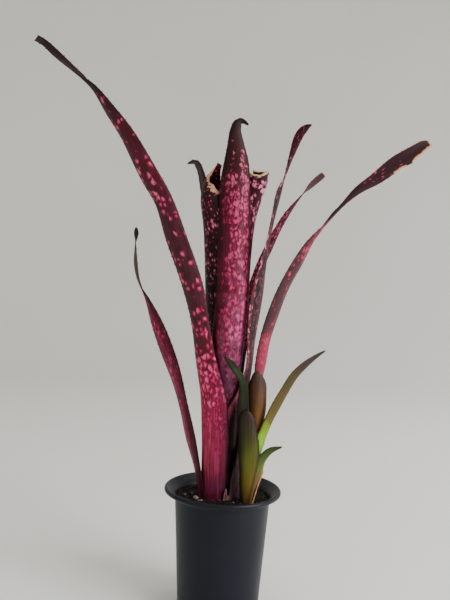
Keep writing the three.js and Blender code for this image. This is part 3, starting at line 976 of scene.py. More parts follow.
@dataclass(frozen=True)
class Mark:
    """Where a point of the grid lies on its leaf. Sizes in mm.

    Attributes:
        u: Place across the leaf, from -1 at the right margin to 1 at the left one.
        reach: Distance from the foot.
        half_width: Half the leaf's width there.
        torn: Distance to the nearest torn edge or to the end.
        station: Section of the leaf there.
    """

    u: float
    reach: float
    half_width: float
    torn: float
    station: Station


@dataclass
class Leaf:
    """One leaf: a thin closed blade whose section wraps round a grid, with spines on it."""

    CURL_REACH: ClassVar[float] = 4.0
    INNER_MAP_SHIFT: ClassVar[float] = 90.0
    # Share of the length beyond which rows draw back from a cut tip, and pitch of its wandering
    CUT_FROM: ClassVar[float] = 0.72
    RAGGED_PITCH: ClassVar[float] = 6.0
    # Distances in mm: to the end where tears are looked for, over which the margins begin to
    # wave, and between waves
    TORN_REACH: ClassVar[float] = 60.0
    FREE_OVER: ClassVar[float] = 60.0
    WAVE_PITCHES: ClassVar[tuple[float, float]] = (17.0, 31.0)
    # How square a margin's section is, and rows over which an end closes
    MARGIN_POWER: ClassVar[int] = 8
    CLOSING_ROWS: ClassVar[int] = 2
    # Spines, in heights of a spine but for their lean and sides
    SPINE_RADIUS: ClassVar[float] = 0.42
    SPINE_LENGTH: ClassVar[float] = 1.5
    SPINE_SHIFT: ClassVar[float] = 0.25
    SPINE_LEAN: ClassVar[float] = 0.55
    SPINE_SIDES: ClassVar[int] = 5

    plan: LeafPlan
    shoot: Shoot
    outer: Skin
    inner: Skin
    slot: Slot
    line: Midline = field(init=False)
    sheath_reach: float = field(init=False)
    end_line: list[Vector] = field(init=False)

    def __post_init__(self) -> None:
        """Lay the midline of the leaf and the line of its torn end."""
        plan = self.plan
        sheath = self.shoot.sheath(plan.layer, plan.azimuth, plan.spans, plan.sheath_top)
        self.line = Midline([*sheath, *plan.blade])
        self.sheath_reach = plan.sheath_top - self.shoot.heights[0]
        self.end_line = []
        if any(cut for _, cut in plan.cut):
            for k in range(2 * plan.columns + 1):
                u = k / plan.columns - 1
                reach = self.line.length - self.cut_at(u)
                self.end_line.append(Vector((u * self.line.at(reach).half_width, reach)))

    def build(self, name: str) -> bpy.types.Object:
        """Build the leaf.

        Args:
            name: Name of the piece.

        Returns:
            The piece, in place.
        """
        bm = bmesh.new()
        maps = [bm.loops.layers.uv.new(key.value) for key in LeafMap]
        rows = len(self.line.stations) - 1
        columns = self.plan.columns
        bmesh.ops.create_grid(bm, x_segments=2 * columns, y_segments=rows, size=0.5)
        column_of = {v: round((v.co.x + 0.5) * 2 * columns) for v in bm.verts}
        marks: dict[bmesh.types.BMVert, Mark] = {}
        for vert, column in column_of.items():
            row = round((vert.co.y + 0.5) * rows)
            inside = column > columns
            u = 3 - 2 * column / columns if inside else 2 * column / columns - 1
            marks[vert] = self.mark(u, self.line.reach[row])
            vert.co = self.surface(marks[vert], inside, min(row, rows - row))
        for face in bm.faces:
            inside = sum(column_of[v] for v in face.verts) > 4 * columns
            face.material_index = Face.INNER.value if inside else Face.OUTER.value
            for loop in face.loops:
                for layer, place in zip(maps, self.map_places(marks[loop.vert], inside)):
                    loop[layer].uv = place
        bmesh.ops.remove_doubles(bm, verts=bm.verts, dist=WELD / MM)
        bmesh.ops.dissolve_degenerate(bm, dist=WELD / MM, edges=bm.edges)
        self.add_spines(bm)
        finishes = (self.outer, self.inner, SPINE_HORN)
        return finished(name, bm, finishes, [self.plan.node])

    def cut_at(self, u: float) -> float:
        """How much of the tip is gone at a place across the leaf, in mm."""
        pattern = Vector((u * self.RAGGED_PITCH, self.plan.seed, 0.5))
        return level_at(self.plan.cut, u) + self.plan.ragged * abs(noise.noise(pattern))

    def mark(self, u: float, reach: float) -> Mark:
        """Place a point of the grid on the leaf, within its torn end and margins.

        Args:
            u: Place across the whole leaf, from -1 to 1.
            reach: Distance from the foot on the whole leaf, in mm.

        Returns:
            Where the point lies.
        """
        length = self.line.length
        reach -= self.cut_at(u) * smooth_step(self.CUT_FROM * length, length, reach)
        station = self.line.at(reach)
        half_width = station.half_width
        torn = self.to_end(u * half_width, reach)
        for tear in self.plan.torn:
            depth = tear.depth_at(reach) if u * tear.side > 0 else 0.0
            if depth:
                torn = min(torn, (1 - abs(u)) * (half_width - depth))
                u *= 1 - depth / half_width
        return Mark(u, reach, half_width, torn, station)

    def to_end(self, across: float, reach: float) -> float:
        """Distance in mm from a place on the flattened leaf to its end or to the tear there."""
        left = self.line.length - reach
        if not self.end_line or left > self.TORN_REACH:
            return left
        place = Vector((across, reach))
        nearest = left
        for start, end in zip(self.end_line, self.end_line[1:]):
            edge = end - start
            share = (place - start).dot(edge) / max(edge.length_squared, WELD)
            share = min(1.0, max(0.0, share))
            nearest = min(nearest, (start + edge * share - place).length)
        return nearest

    def surface(self, mark: Mark, inside: bool, rows_from_end: int) -> Vector:
        """Place of a point of the blade.

        Args:
            mark: Where the point lies on the leaf.
            inside: Whether it is on the inner face.
            rows_from_end: Rows of the grid to the nearer end, where both faces close.

        Returns:
            The place in mm.
        """
        u, reach, plan = mark.u, mark.reach, self.plan
        place, facing, _ = mark.station.point(u)
        close = math.sqrt(min(1.0, rows_from_end / self.CLOSING_ROWS))
        section = math.sqrt(max(0.0, 1 - min(1.0, abs(u)) ** self.MARGIN_POWER))
        half = self.shoot.thickness / 2 * section * close
        free = smooth_step(self.sheath_reach, self.sheath_reach + self.FREE_OVER, reach)
        short, long = self.WAVE_PITCHES
        wave = math.sin(reach / short + plan.seed) * math.sin(reach / long + 2 * u)
        shift = plan.wave * free * u * u * wave
        shift -= plan.curl * max(0.0, 1 - mark.torn / self.CURL_REACH) ** 2
        return place + facing * (shift + (half if inside else -half))

    def map_places(self, mark: Mark, inside: bool) -> tuple[tuple[float, float], ...]:
        """Places of a face corner on the leaf's maps, in the order of LeafMap."""
        apart = self.INNER_MAP_SHIFT if inside else 0.0
        flat = (mark.u * mark.half_width + apart, mark.reach)
        share = ((1 - mark.u) / 2, mark.reach / self.line.length)
        return flat, share, ((1 - abs(mark.u)) * mark.half_width, mark.torn)

    def add_spines(self, bm: bmesh.types.BMesh) -> None:
        """Set small forward-leaning spines along both margins of the free blade."""
        height = self.shoot.spine_height
        first = max(0.0, self.shoot.spine_from - self.shoot.heights[0])
        count = int((self.line.length - 2 * height - first) / self.shoot.spine_pitch) + 1
        for side in (-1, 1):
            end = self.line.length - self.cut_at(side) - 2 * height
            for reach in (first + k * self.shoot.spine_pitch for k in range(count)):
                tears = (tear for tear in self.plan.torn if tear.side == side)
                if reach > end or any(tear.depth_at(reach) for tear in tears):
                    continue
                station = self.line.at(reach)
                place, _, sideways = station.point(side)
                direction = (sideways * side + station.along * self.SPINE_LEAN).normalized()
                turn = direction.to_track_quat("Z", "Y").to_matrix().to_4x4()
                made = bmesh.ops.create_cone(
                    bm,
                    cap_ends=True,
                    segments=self.SPINE_SIDES,
                    radius1=height * self.SPINE_RADIUS,
                    radius2=0.0,
                    depth=height * self.SPINE_LENGTH,
                    matrix=Matrix.Translation(place + direction * height * self.SPINE_SHIFT) @ turn,
                )
                for face in {face for vert in made["verts"] for face in vert.link_faces}:
                    face.material_index = Face.SPINE.value


MAIN_SHOOT = Shoot(
    axis=(-4, 2), foot=20.5, heights=(92, 125, 160, 195, 230, 265),
    spread=((92, 1), (150, 1), (200, 1.17), (235, 1.27), (270, 1.45), (300, 1.6)), first_layer=10,
    pitch=1.2, facet=22.5, thickness=0.8, spine_from=190, spine_pitch=8, spine_height=1.3,
)

PUP_SHOOT = Shoot(
    axis=(24.5, -17), foot=6.5, heights=(92, 108, 124, 140, 156),
    spread=((92, 1), (112, 1), (130, 1.35), (160, 1.85), (190, 2)), first_layer=2, pitch=0.9,
    facet=30, thickness=0.6, spine_from=150, spine_pitch=5, spine_height=0.8,
)

MAIN_LEAVES = (
    LeafPlan(
        "leaf_back_left", layer=0, azimuth=-180, spans=6, sheath_top=265,
        blade=(
            (-6, 19, 316, 12, 100, -178), (-14, 23.5, 358, 10, 84, -172),
            (-24.5, 26.5, 399.5, 9.5, 84, -165), (-34, 28, 431.5, 6, 84, -155),
            (-39, 30, 449.5, 4.5, 80, -148), (-45, 31, 460.5, 4.5, 70, -142),
            (-53.5, 32, 459, 1.5, 50, -140),
        ),
        seed=1,
    ),
    LeafPlan(
        "leaf_rolled_right", layer=1, azimuth=112.5, spans=6, sheath_top=265,
        blade=(
            (16.5, 7, 318, 17, 150, 100), (17.5, 4, 359.5, 17.5, 172, 86),
            (19.5, 4.5, 394.5, 22, 192, 78), (24.5, 5.5, 419, 22.5, 215, 75),
            (30, 5, 437.5, 25, 240, 75), (31.5, 3.5, 449.5, 25.5, 256, 75),
            (31.5, 3.5, 456.5, 25.5, 260, 75),
        ),
        cut=((-1, 1), (0, 4), (0.55, 10), (1, 9)), ragged=1.2, curl=0.9, wave=0.3, columns=36,
        seed=2,
    ),
    LeafPlan(
        "leaf_rolled_left", layer=2, azimuth=-90, spans=6, sheath_top=265,
        blade=(
            (-25.5, 0, 311.5, 19, 144, -76), (-28, -1, 352, 18.5, 150, -70),
            (-31.5, 1.5, 387.5, 23.5, 180, -81), (-36, 7.5, 418.5, 32, 230, -100),
            (-32.5, 6, 439.5, 26, 240, -100), (-26, 1.5, 448.5, 13, 240, -99),
            (-19.5, -1.5, 456, 4, 220, -95),
        ),
        cut=((-1, 30), (-0.86, 27), (-0.72, 20), (-0.63, 14), (-0.56, 6), (-0.51, 0), (1, 0)),
        ragged=1.2, curl=1.6, wave=0.3, columns=48, seed=3,
    ),
    LeafPlan(
        "leaf_centre", layer=3, azimuth=22.5, spans=6, sheath_top=230,
        blade=(
            (0.5, -18.5, 273.5, 21, 124, 14), (2.5, -20, 318.5, 20.5, 118, 10),
            (1, -20, 358.5, 19, 112, 8), (0, -20, 393, 18.5, 106, 6),
            (-1.5, -20, 427.5, 17.5, 100, 4), (-2, -19, 454, 14.5, 96, 0),
            (-3.5, -17, 472, 10, 90, 0), (-4.5, -15, 486.5, 6.5, 84, 0), (-2, -13, 496, 4.5, 80, 0),
            (3, -12, 497, 2.5, 60, 10), (8.5, -12, 493.5, 1, 50, 10),
        ),
        seed=4,
    ),
    LeafPlan(
        "leaf_slant_right", layer=4, azimuth=135, spans=6, sheath_top=230,
        blade=(
            (17.5, 17, 281, 10.5, 110, 125), (22, 18.5, 318, 11, 90, 118),
            (29.5, 21, 349.5, 10.5, 76, 112), (39, 25, 373.5, 11, 66, 110),
            (46.5, 29, 392, 9.5, 60, 112), (57, 33, 412.5, 7, 54, 112), (71, 38, 433, 5, 40, 92),
            (78, 41, 441, 5.5, 44, 68), (88.5, 45, 451.5, 5, 50, 50), (96, 48, 458, 4.5, 50, 50),
        ),
        cut=((-1, 0), (0.2, 1.5), (1, 3)), ragged=0.8, seed=5,
    ),
    LeafPlan(
        "leaf_upright_right", layer=5, azimuth=67.5, spans=6, sheath_top=195,
        blade=(
            (19, -5, 221, 15.5, 108, 70), (23, -5.5, 249.5, 9.5, 84, 70),
            (24.5, -7, 277.5, 11, 78, 66), (26.5, -9, 305, 12.5, 76, 58),
            (29, -11, 332, 12, 72, 58), (32.5, -13, 359, 11, 66, 72), (35, -15, 380, 9, 60, 84),
            (38.5, -17, 401.5, 8.5, 56, 79), (43, -19, 427, 8, 50, 70),
            (47.5, -21, 444.5, 6, 40, 94), (53, -24, 463.5, 6.5, 44, 112),
            (58.5, -26, 481, 7, 50, 125), (64, -28, 489, 5.5, 50, 130),
            (69.5, -29, 493, 1, 50, 130),
        ),
        seed=6,
    ),
    LeafPlan(
        "leaf_long_right", layer=6, azimuth=112.5, spans=6, sheath_top=125,
        blade=(
            (13, 8.5, 146, 19.5, 128, 111), (18, 9, 170, 16, 108, 104),
            (26.5, 9, 197, 13.5, 90, 94), (33, 9, 224, 12.5, 80, 82), (37, 9.5, 250, 16.5, 74, 68),
            (40.5, 11, 277, 15.5, 72, 65), (48.5, 13, 306, 16.5, 70, 66),
            (58, 16, 333.5, 14.5, 68, 64), (71.5, 19, 360.5, 14, 64, 66),
            (83.5, 22, 383.5, 12, 56, 76), (101.5, 26, 408.5, 8, 40, 96),
            (111, 28, 420.5, 3.5, 44, 120), (129, 32, 439, 5.5, 50, 140),
            (149.5, 36, 453.5, 8, 54, 150), (169.5, 40, 470, 9.5, 54, 155),
            (190.5, 43, 484, 9, 54, 158), (201.5, 45, 493, 6.5, 54, 160),
            (206.5, 46, 496, 2.5, 54, 160),
        ),
        torn=(TornMargin(1, 418, 438, 1.6), TornMargin(1, 442, 472, 3)), seed=7,
    ),
    LeafPlan(
        "leaf_long_left", layer=7, azimuth=-45, spans=6, sheath_top=160,
        blade=(
            (-18.5, -12.5, 186, 23.5, 133, -45), (-20, -15, 216.5, 21, 120, -42),
            (-25.5, -18, 250.5, 15.5, 100, -38), (-32.5, -22, 291, 12.5, 90, -34),
            (-41.5, -27, 329.5, 13.5, 84, -30), (-58, -33, 372.5, 13.5, 78, -30),
            (-71.5, -38, 409, 12, 76, -34), (-87.5, -42, 434.5, 13, 74, -40),
            (-108, -46, 469, 11.5, 70, -48), (-127, -50, 494.5, 10, 60, -58),
            (-139.5, -51, 510.5, 8, 80, -74), (-149.5, -53, 519.5, 6.5, 120, -98),
            (-157.5, -54, 526.5, 4.5, 120, -125), (-175, -56, 541.5, 4, 70, -160),
            (-185, -57, 550, 3.5, 50, -170), (-194, -56, 555, 3.5, 60, -175),
        ),
        seed=8,
    ),
    LeafPlan(
        "leaf_short_left", layer=8, azimuth=-90, spans=4, sheath_top=92,
        blade=(
            (-24.2, 2, 112, 15.5, 90, -90), (-29.5, 1.5, 141, 13, 84, -78),
            (-38, 4, 169, 14, 74, -66), (-46, 8, 200.5, 12, 64, -62), (-56.5, 12, 234, 13, 60, -56),
            (-69.5, 16, 266.5, 11.5, 60, -42), (-79.5, 19, 290, 9.5, 60, -42),
            (-89.5, 22, 312.5, 6.5, 60, -64), (-99.5, 25, 333.5, 3.5, 50, -100),
            (-103.5, 27, 352.5, 3, 50, -125), (-104.5, 29, 370.5, 2.5, 50, -100),
            (-104.5, 30, 383.5, 3, 50, -30), (-104.5, 30, 389.5, 1, 50, -20),
        ),
        seed=9,
    ),
)

PUP_LEAVES = (
    LeafPlan(
        "pup_tongue", layer=0, azimuth=0, spans=4, sheath_top=156,
        blade=(
            (30, -19, 191.5, 8.5, 116, 6), (31, -19.5, 208, 10.5, 100, 8),
            (30.5, -20, 223, 10.5, 84, 8), (30, -20, 236, 9.5, 74, 8), (28.5, -19.5, 245, 5, 64, 8),
            (28, -19.5, 248.5, 2, 56, 8),
        ),
        wave=0.1, columns=14, seed=10,
    ),
    LeafPlan(
        "pup_blade_right", layer=1, azimuth=90, spans=4, sheath_top=140,
        blade=(
            (37.5, -17, 171, 12, 112, 70), (40, -18, 184, 10, 104, 56), (44.5, -19, 199, 8, 92, 48),
            (51, -20, 214.5, 8, 80, 44), (58, -21, 229.5, 7, 72, 42),
            (66.5, -22, 245.5, 6.5, 66, 42), (77.5, -22, 258, 5.5, 60, 44),
            (89, -22, 268, 3, 54, 46), (95.5, -22, 272.5, 1.5, 50, 50),
        ),
        wave=0.2, columns=14, seed=11,
    ),
    LeafPlan(
        "pup_blade_left", layer=2, azimuth=-60, spans=4, sheath_top=156,
        blade=(
            (14.5, -23, 195.5, 10.5, 110, -48), (14, -24, 216, 8.5, 100, -42),
            (15, -26, 231, 6, 84, -36), (12.5, -28, 241, 4.5, 70, -30),
            (3, -30, 254.5, 4.5, 60, -30), (-5, -31, 263, 1, 50, -30),
        ),
        wave=0.1, columns=14, seed=12,
    ),
    LeafPlan(
        "pup_blade_low", layer=3, azimuth=60, spans=4, sheath_top=124,
        blade=(
            (36, -19, 143.5, 12, 110, 54), (38, -20, 156.5, 9, 90, 46),
            (42, -20, 164.5, 6.5, 70, 40), (48, -20, 170, 5, 60, 40), (57.5, -20, 174, 1, 50, 40),
        ),
        wave=0.1, columns=14, seed=13,
    ),
    LeafPlan(
        "pup_scale_front", layer=4, azimuth=-30, spans=4, sheath_top=124,
        blade=(
            (21.5, -28, 157, 12.5, 120, -24), (21.5, -29, 173, 13.5, 120, -20),
            (20, -29.5, 189, 12, 116, -18), (19, -29.5, 202, 10, 110, -16),
            (19, -29, 208.5, 6, 100, -14), (19, -29, 210.5, 2, 90, -14),
        ),
        wave=0.1, columns=14, seed=14,
    ),
)


class Tone(Enum):
    """Colours that several leaves share."""

    TIP = "#1c120e"
    WINE = "#3a0a18"
    ROSE = "#dc3a74"
    PALE_ROSE = "#e89aa8"
    EVEN = "#ffffff"


def ramp(text: str) -> tuple[Stop, ...]:
    """Read a row of stops.

    Args:
        text: Places from 0 to 1, each with a hex colour, a shared tone or a level, such as
            "0 wine, 0.5 #30101a".

    Returns:
        The stops.
    """
    shared = {tone.name.lower(): tone.value for tone in Tone}
    pairs = (stop.split() for stop in text.split(","))
    return tuple(
        (float(place), value if value.startswith("#") else shared.get(value) or float(value))
        for place, value in pairs
    )


# The colours across each leaf that a skin is multiplied by are painted shade: darker towards the
# margins and low in the tube, where less light falls
OUTSIDE = {
    "leaf_back_left": SpottedSkin(
        name="back_left_outside", ground=ramp("0 wine, 0.8 #32101a, 0.93 #301814, 1 tip"),
        spot=ramp("0 rose, 0.9 #a85868, 1 pale_rose"),
        cover=ramp("0 0.3, 0.8 0.4, 0.88 0.2, 0.93 0"), seed=11,
    ),
    "leaf_rolled_right": SpottedSkin(
        name="rolled_right_outside", ground=ramp("0 wine, 0.7 #4a0a20, 0.9 #40061a, 1 #2c0810"),
        spot=ramp("0 rose, 0.78 #b8447a, 0.88 #c8709a, 1 #d08aa0"),
        cover=ramp("0 0.5, 0.7 0.3, 0.78 0.5, 0.85 0.8, 0.93 0.8, 0.97 0.6, 1 0.4"),
        sharp=ramp("0 0.6, 0.8 1.1, 1 1.6"), size=4.4, dried=2.4, dried_tone="#ddc79a", seed=23,
    ),
    "leaf_rolled_left": SpottedSkin(
        name="rolled_left_outside",
        ground=ramp("0 wine, 0.5 #1c0c10, 0.68 #1e0c12, 0.78 #2c0a16, 1 #3a1418"),
        spot=ramp("0 #a8688a, 0.65 #94808a, 0.74 #b85a7a, 1 #d07a90"),
        cover=ramp("0 0.5, 0.5 0.46, 0.7 0.5, 0.85 0.5, 0.93 0.3, 1 0.1"),
        haze=ramp("0 0.1, 0.5 0.3, 0.68 0.2, 0.76 0"), haze_tone="#3a2c32", size=2.5, slender=2,
        jitter=0.6, dried=6, dried_tone="#e8b08c", seed=31,
    ),
    "leaf_centre": SpottedSkin(
        name="centre_outside",
        ground=ramp(
            "0 #280a18, 0.25 #300c1c, 0.35 #360824, 0.5 #4a0626, 0.62 #5c082c, 0.78 #520a28, "
            "0.86 #3c0e16, 0.94 #36181a, 1 tip"
        ),
        spot=ramp(
            "0 #6a2c4a, 0.33 #8c3c66, 0.5 #a62c60, 0.62 #ae2254, 0.76 #ac2c5c, 0.84 #c45c80, "
            "1 pale_rose"
        ),
        cover=ramp(
            "0 0.5, 0.33 0.72, 0.5 0.92, 0.64 0.95, 0.8 0.88, 0.85 0.6, 0.88 0.32, 0.93 0.16, "
            "0.97 0"
        ),
        cover_across=ramp("0 0.3, 0.16 0.55, 0.36 0.95, 0.86 1.1, 0.94 0.7, 1 0.3"),
        sharp=ramp("0 0.4, 0.38 0.7, 0.5 0.9, 0.62 1, 1 1.1"),
        haze=ramp("0 0.3, 0.33 0.42, 0.45 0.3, 0.54 0.18, 0.64 0.1, 0.72 0"), haze_tone="#b0648e",
        painted_shade=(
            (0.2, ramp("0 #5a4458, 0.3 #887080, 0.6 #887080, 1 #403840")),
            (0.34, ramp("0 #403440, 0.2 #584854, 0.34 #96868e, 0.8 #aa969e, 1 #504048")),
            (
                0.46,
                ramp("0 #907070, 0.16 #c8a498, 0.34 #e0c4c4, 0.45 #f4e8ec, 0.9 #f4e8ec, 1 #806068"),
            ),
            (0.66, ramp("0 #a08c88, 0.16 #c0a8a8, 0.4 #e4d8dc, 0.9 #e4d8dc, 1 #80686c")),
        ),
        heart="#c0608a", streak=0.5, blush=ramp("0 0.3, 0.4 0.4, 0.6 0.2, 0.75 0"), size=4.6,
        slender=1.5, grain=1.7, seed=5,
    ),
    "leaf_slant_right": SpottedSkin(
        name="slant_right_outside", ground=ramp("0 wine, 0.85 #6a1430, 0.93 #3c1018, 1 #2c1010"),
        spot=ramp("0 rose, 1 #c04a6a"), cover=ramp("0 0.5, 0.85 0.5, 0.95 0.2, 1 0"), dried=0.9,
        seed=47,
    ),
    "leaf_upright_right": SpottedSkin(
        name="upright_right_outside",
        ground=ramp(
            "0 wine, 0.35 #6a2040, 0.5 #501420, 0.7 #4a181e, 0.8 #341216, 0.86 #40101e, 1 tip"
        ),
        spot=ramp("0 #b4648a, 0.4 #cc8aa4, 0.6 #e0b0c0, 1 pale_rose"),
        cover=ramp("0 0.4, 0.3 0.3, 0.42 0.6, 0.7 0.6, 0.8 0.5, 0.9 0.4, 1 0.1"),
        cover_across=ramp("0 1, 0.3 1.3, 0.45 1, 0.6 0.3, 1 0.3"),
        haze=ramp("0 0.3, 0.33 0.6, 0.5 0.3, 0.7 0.2, 0.8 0"), haze_tone="#84505f",
        painted_shade=(
            (0, ramp("0 #ffd0e0, 0.1 #e8b0c0, 0.2 #584850, 0.42 #605058, 0.6 #e0e0e0, 1 even")),
        ),
        size=2.9, slender=2, jitter=0.7, seed=59,
    ),
    "leaf_long_right": SpottedSkin(
        name="long_right_outside",
        ground=ramp(
            "0 #8a1240, 0.24 #8a1440, 0.38 #840c30, 0.43 #3a0810, 0.6 #360a10, 0.66 #540a24, "
            "0.74 #38101a, 1 #301016"
        ),
        spot=ramp("0 #941446, 0.38 #a0163e, 0.46 #c03452, 0.66 #b02458, 1 #c05a78"),
        cover=ramp("0 0.9, 0.37 1, 0.42 0.45, 0.52 0.38, 0.6 0.55, 0.64 0.9, 0.7 0.5, 0.74 0"),
        sharp=ramp("0 0.5, 0.4 0.6, 0.6 0.8, 1 1"),
        painted_shade=((0.3, ramp("0 #907070, 0.25 even, 0.9 even, 1 #b09090")),), heart="#b83c5c",
        size=3.8, slender=1.8, seed=61,
    ),
    "leaf_long_left": SpottedSkin(
        name="long_left_outside",
        ground=ramp(
            "0 #501028, 0.07 #80163a, 0.12 #b0284a, 0.2 #b02a52, 0.26 #7a1030, 0.36 #4c1220, "
            "0.5 #42181c, 0.62 #440c18, 0.72 #500a1c, 0.8 #400a18, 0.86 #24100e, 0.92 tip, 1 tip"
        ),
        spot=ramp("0 #a84070, 0.1 #d84a80, 0.24 #d83a74, 0.4 #dc4c78, 0.6 #d05a7c, 1 #c87088"),
        cover=ramp(
            "0 0, 0.15 0.1, 0.21 0.75, 0.26 1.05, 0.31 0.85, 0.36 0.56, 0.42 0.44, 0.54 0.4, "
            "0.62 0.42, 0.67 0.52, 0.71 0.4, 0.75 0.24, 0.79 0.5, 0.84 0.5, 0.88 0"
        ),
        sharp=ramp("0 0.22, 0.15 0.3, 0.23 0.6, 0.34 1, 1 1"),
        blush=ramp("0 0.3, 0.08 0.6, 0.18 0.6, 0.26 0.2, 0.32 0"),
        haze=ramp("0 0.35, 0.12 0.2, 0.2 0, 0.3 0, 0.5 0.08, 1 0"), haze_tone="#8a5a78",
        painted_shade=(
            (0.04, ramp("0 #705468, 0.3 #d8b8c0, 0.7 #c0a0b8, 1 #604868")),
            (0.2, ramp("0 #706070, 0.1 #f0d0c0, 0.3 #fff0e8, 0.6 even, 0.76 #d8c0e0, 1 #705078")),
            (0.34, ramp("0 #c0b0b0, 0.2 even, 1 even")),
        ),
        heart="#e07c98", streak=0.5, size=5.6, slender=1.4, jitter=0.8, wander=1, grain=0.6,
        seed=71,
    ),
    "leaf_short_left": SpottedSkin(
        name="short_left_outside",
        ground=ramp("0 #4a1828, 0.3 #7a1238, 0.7 #6a0e30, 0.82 #401818, 0.87 #3a2818, 1 #2c1e14"),
        spot=ramp("0 #a04468, 0.3 #c03468, 0.7 #d03a6c, 1 #8a5a40"),
        cover=ramp("0 0.2, 0.3 0.5, 0.5 0.7, 0.66 0.6, 0.72 0.4, 0.8 0.3, 0.86 0"),
        sharp=ramp("0 0.3, 0.5 0.5, 1 0.8"),
        painted_shade=((0.5, ramp("0 #706068, 0.25 even, 0.6 even, 0.8 #b09098, 1 #604850")),), streak=0.8,
        blush=ramp("0 0.5, 0.4 0.45, 0.65 0.1, 0.8 0"), size=2.8, slender=3, seed=83,
    ),
}

INSIDE = {
    "leaf_back_left": SpottedSkin(
        name="back_left_inside", ground=ramp("0 wine, 0.8 #32101a, 0.93 #2c1414, 1 tip"),
        spot=ramp("0 rose, 1 #9a5060"), cover=ramp("0 0.3, 0.88 0.2, 0.95 0"), seed=96,
    ),
    "leaf_rolled_right": SpottedSkin(
        name="rolled_right_inside", ground=ramp("0 wine, 0.9 #2c0a0c, 1 #2c1008"),
        spot=ramp("0 rose, 1 #c84a5a"), cover=ramp("0 0.4, 0.9 0.2, 1 0"), dried=4,
        dried_tone="#d8c090", seed=98,
    ),
    "leaf_rolled_left": SpottedSkin(
        name="rolled_left_inside", ground=ramp("0 wine, 0.8 #480a18, 1 #4e0e1a"),
        spot=ramp("0 rose, 1 #f07a88"), cover=ramp("0 0.4, 1 0.5"), size=2.4, seed=97,
    ),
    "leaf_centre": SpottedSkin(
        name="tube_inside", ground=ramp("0 wine, 0.8 #42081a, 0.92 #34101a, 1 tip"),
        spot=ramp("0 rose, 1 #c84a5a"), cover=ramp("0 0.4, 0.9 0.3, 1 0"), size=2.4, seed=95,
    ),
    "leaf_slant_right": SpottedSkin(
        name="slant_right_inside", ground=ramp("0 wine, 0.6 #7a0e36, 0.85 #560c28, 1 #2c0e10"),
        spot=ramp("0 rose, 0.8 #d0386c, 1 #b84a62"),
        cover=ramp("0 0.6, 0.6 0.9, 0.8 0.9, 0.9 0.5, 1 0"), size=2.8, slender=1.8, dried=0.9,
        seed=99,
    ),
    "leaf_upright_right": SpottedSkin(
        name="upright_right_inside", ground=ramp("0 wine, 0.85 #4a0a22, 0.95 #3c0818, 1 #140808"),
        spot=ramp("0 rose, 1 #c86078"), cover=ramp("0 0.4, 0.88 0.6, 0.96 0.5, 1 0"),
        # The crimson margin line is partly the edge's own red and partly painted glow of light
        # shining through the thin edge
        margin="#a03050", size=2.6, seed=100,
    ),
    "leaf_long_right": SpottedSkin(
        name="long_right_inside",
        ground=ramp("0 wine, 0.72 #341420, 0.8 #2a0610, 0.95 #28060e, 1 #2a1812"),
        spot=ramp("0 rose, 1 #d0507a"),
        # The crimson margin line is partly the edge's own red and partly painted glow of light
        # shining through the thin edge
        cover=ramp("0 0.4, 0.8 0.15, 0.86 0.32, 0.89 0.3, 0.93 0.16, 1 0"), margin="#8a2040",
        dried=1.7, dried_tone="#c8805a", size=3.4, seed=101,
    ),
    "leaf_long_left": SpottedSkin(
        name="long_left_inside",
        ground=ramp("0 wine, 0.84 #4a0a20, 0.9 #241010, 0.98 tip, 1 #383028"),
        spot=ramp("0 rose, 1 #d05a7c"), cover=ramp("0 0.5, 0.84 0.75, 0.885 0.3, 0.91 0"), seed=102,
    ),
    "leaf_short_left": SpottedSkin(
        name="short_left_inside", ground=ramp("0 wine, 0.82 #3c1a18, 0.9 #3c2c1a, 1 #2c1e14"),
        spot=ramp("0 rose, 1 #b05a50"), cover=ramp("0 0.5, 0.84 0.2, 0.88 0"), seed=103,
    ),
}

# The colours across each leaf that a skin is multiplied by are painted shade, darker towards the
# margins where less light falls
PLAIN = {
    "pup_tongue": PlainSkin(
        name="tongue_skin",
        ground=ramp("0 #6a5a18, 0.4 #6c561c, 0.6 #76501e, 0.8 #563820, 0.92 #3c2820, 1 #2c201a"),
        painted_shade=((0.5, ramp("0 #806460, 0.3 #d8c0a8, 0.6 even, 0.94 even, 1 #5c4848")),),
        margin="#241610", seed=1,
    ),
    "pup_blade_right": PlainSkin(
        name="blade_right_skin",
        ground=ramp(
            "0 #6a8c10, 0.36 #68a800, 0.47 #74a408, 0.53 #5c561e, 0.68 #504422, 0.8 #423a20, "
            "0.9 #382c2c, 1 #2c2024"
        ),
        painted_shade=((0.5, ramp("0 even, 0.7 #e0d0c0, 1 #907c70")),), margin="#40301c", seed=2,
    ),
    "pup_blade_left": PlainSkin(
        name="blade_left_skin",
        ground=ramp("0 #2c1c18, 0.5 #241a1c, 0.66 #2a261a, 0.8 #2c3a24, 0.9 #384630, 1 #1c2014"),
        painted_shade=((0.5, ramp("0 #786c60, 0.35 even, 0.65 #f0fff0, 1 #706458")),), margin="#201810",
        seed=3,
    ),
    "pup_blade_low": PlainSkin(
        name="blade_low_skin",
        ground=ramp("0 #46321c, 0.5 #5c4424, 0.66 #4a5214, 0.75 #2e4410, 0.9 #22340e, 1 #1a2410"),
        margin="#1c2210", seed=4,
    ),
    "pup_scale_front": PlainSkin(
        name="scale_front_skin",
        ground=ramp(
            "0 #3c1c18, 0.2 #4c3220, 0.36 #6a5a24, 0.55 #585c1a, 0.72 #3c4414, 0.82 #2e2818, "
            "0.92 #2a1c18, 1 #241618"
        ),
        painted_shade=((0.5, ramp("0 #3c302c, 0.25 #988870, 0.5 even, 0.85 #e8d8c8, 1 #6c5c50")),),
        margin="#28200f", seed=5,
    ),
}

SPINE_HORN = LooseMatter("spine_horn", dark="#1c1210", light="#33201a", grain_mm=0.8, depth_mm=0.05)


# Pot, mix and what lies on it


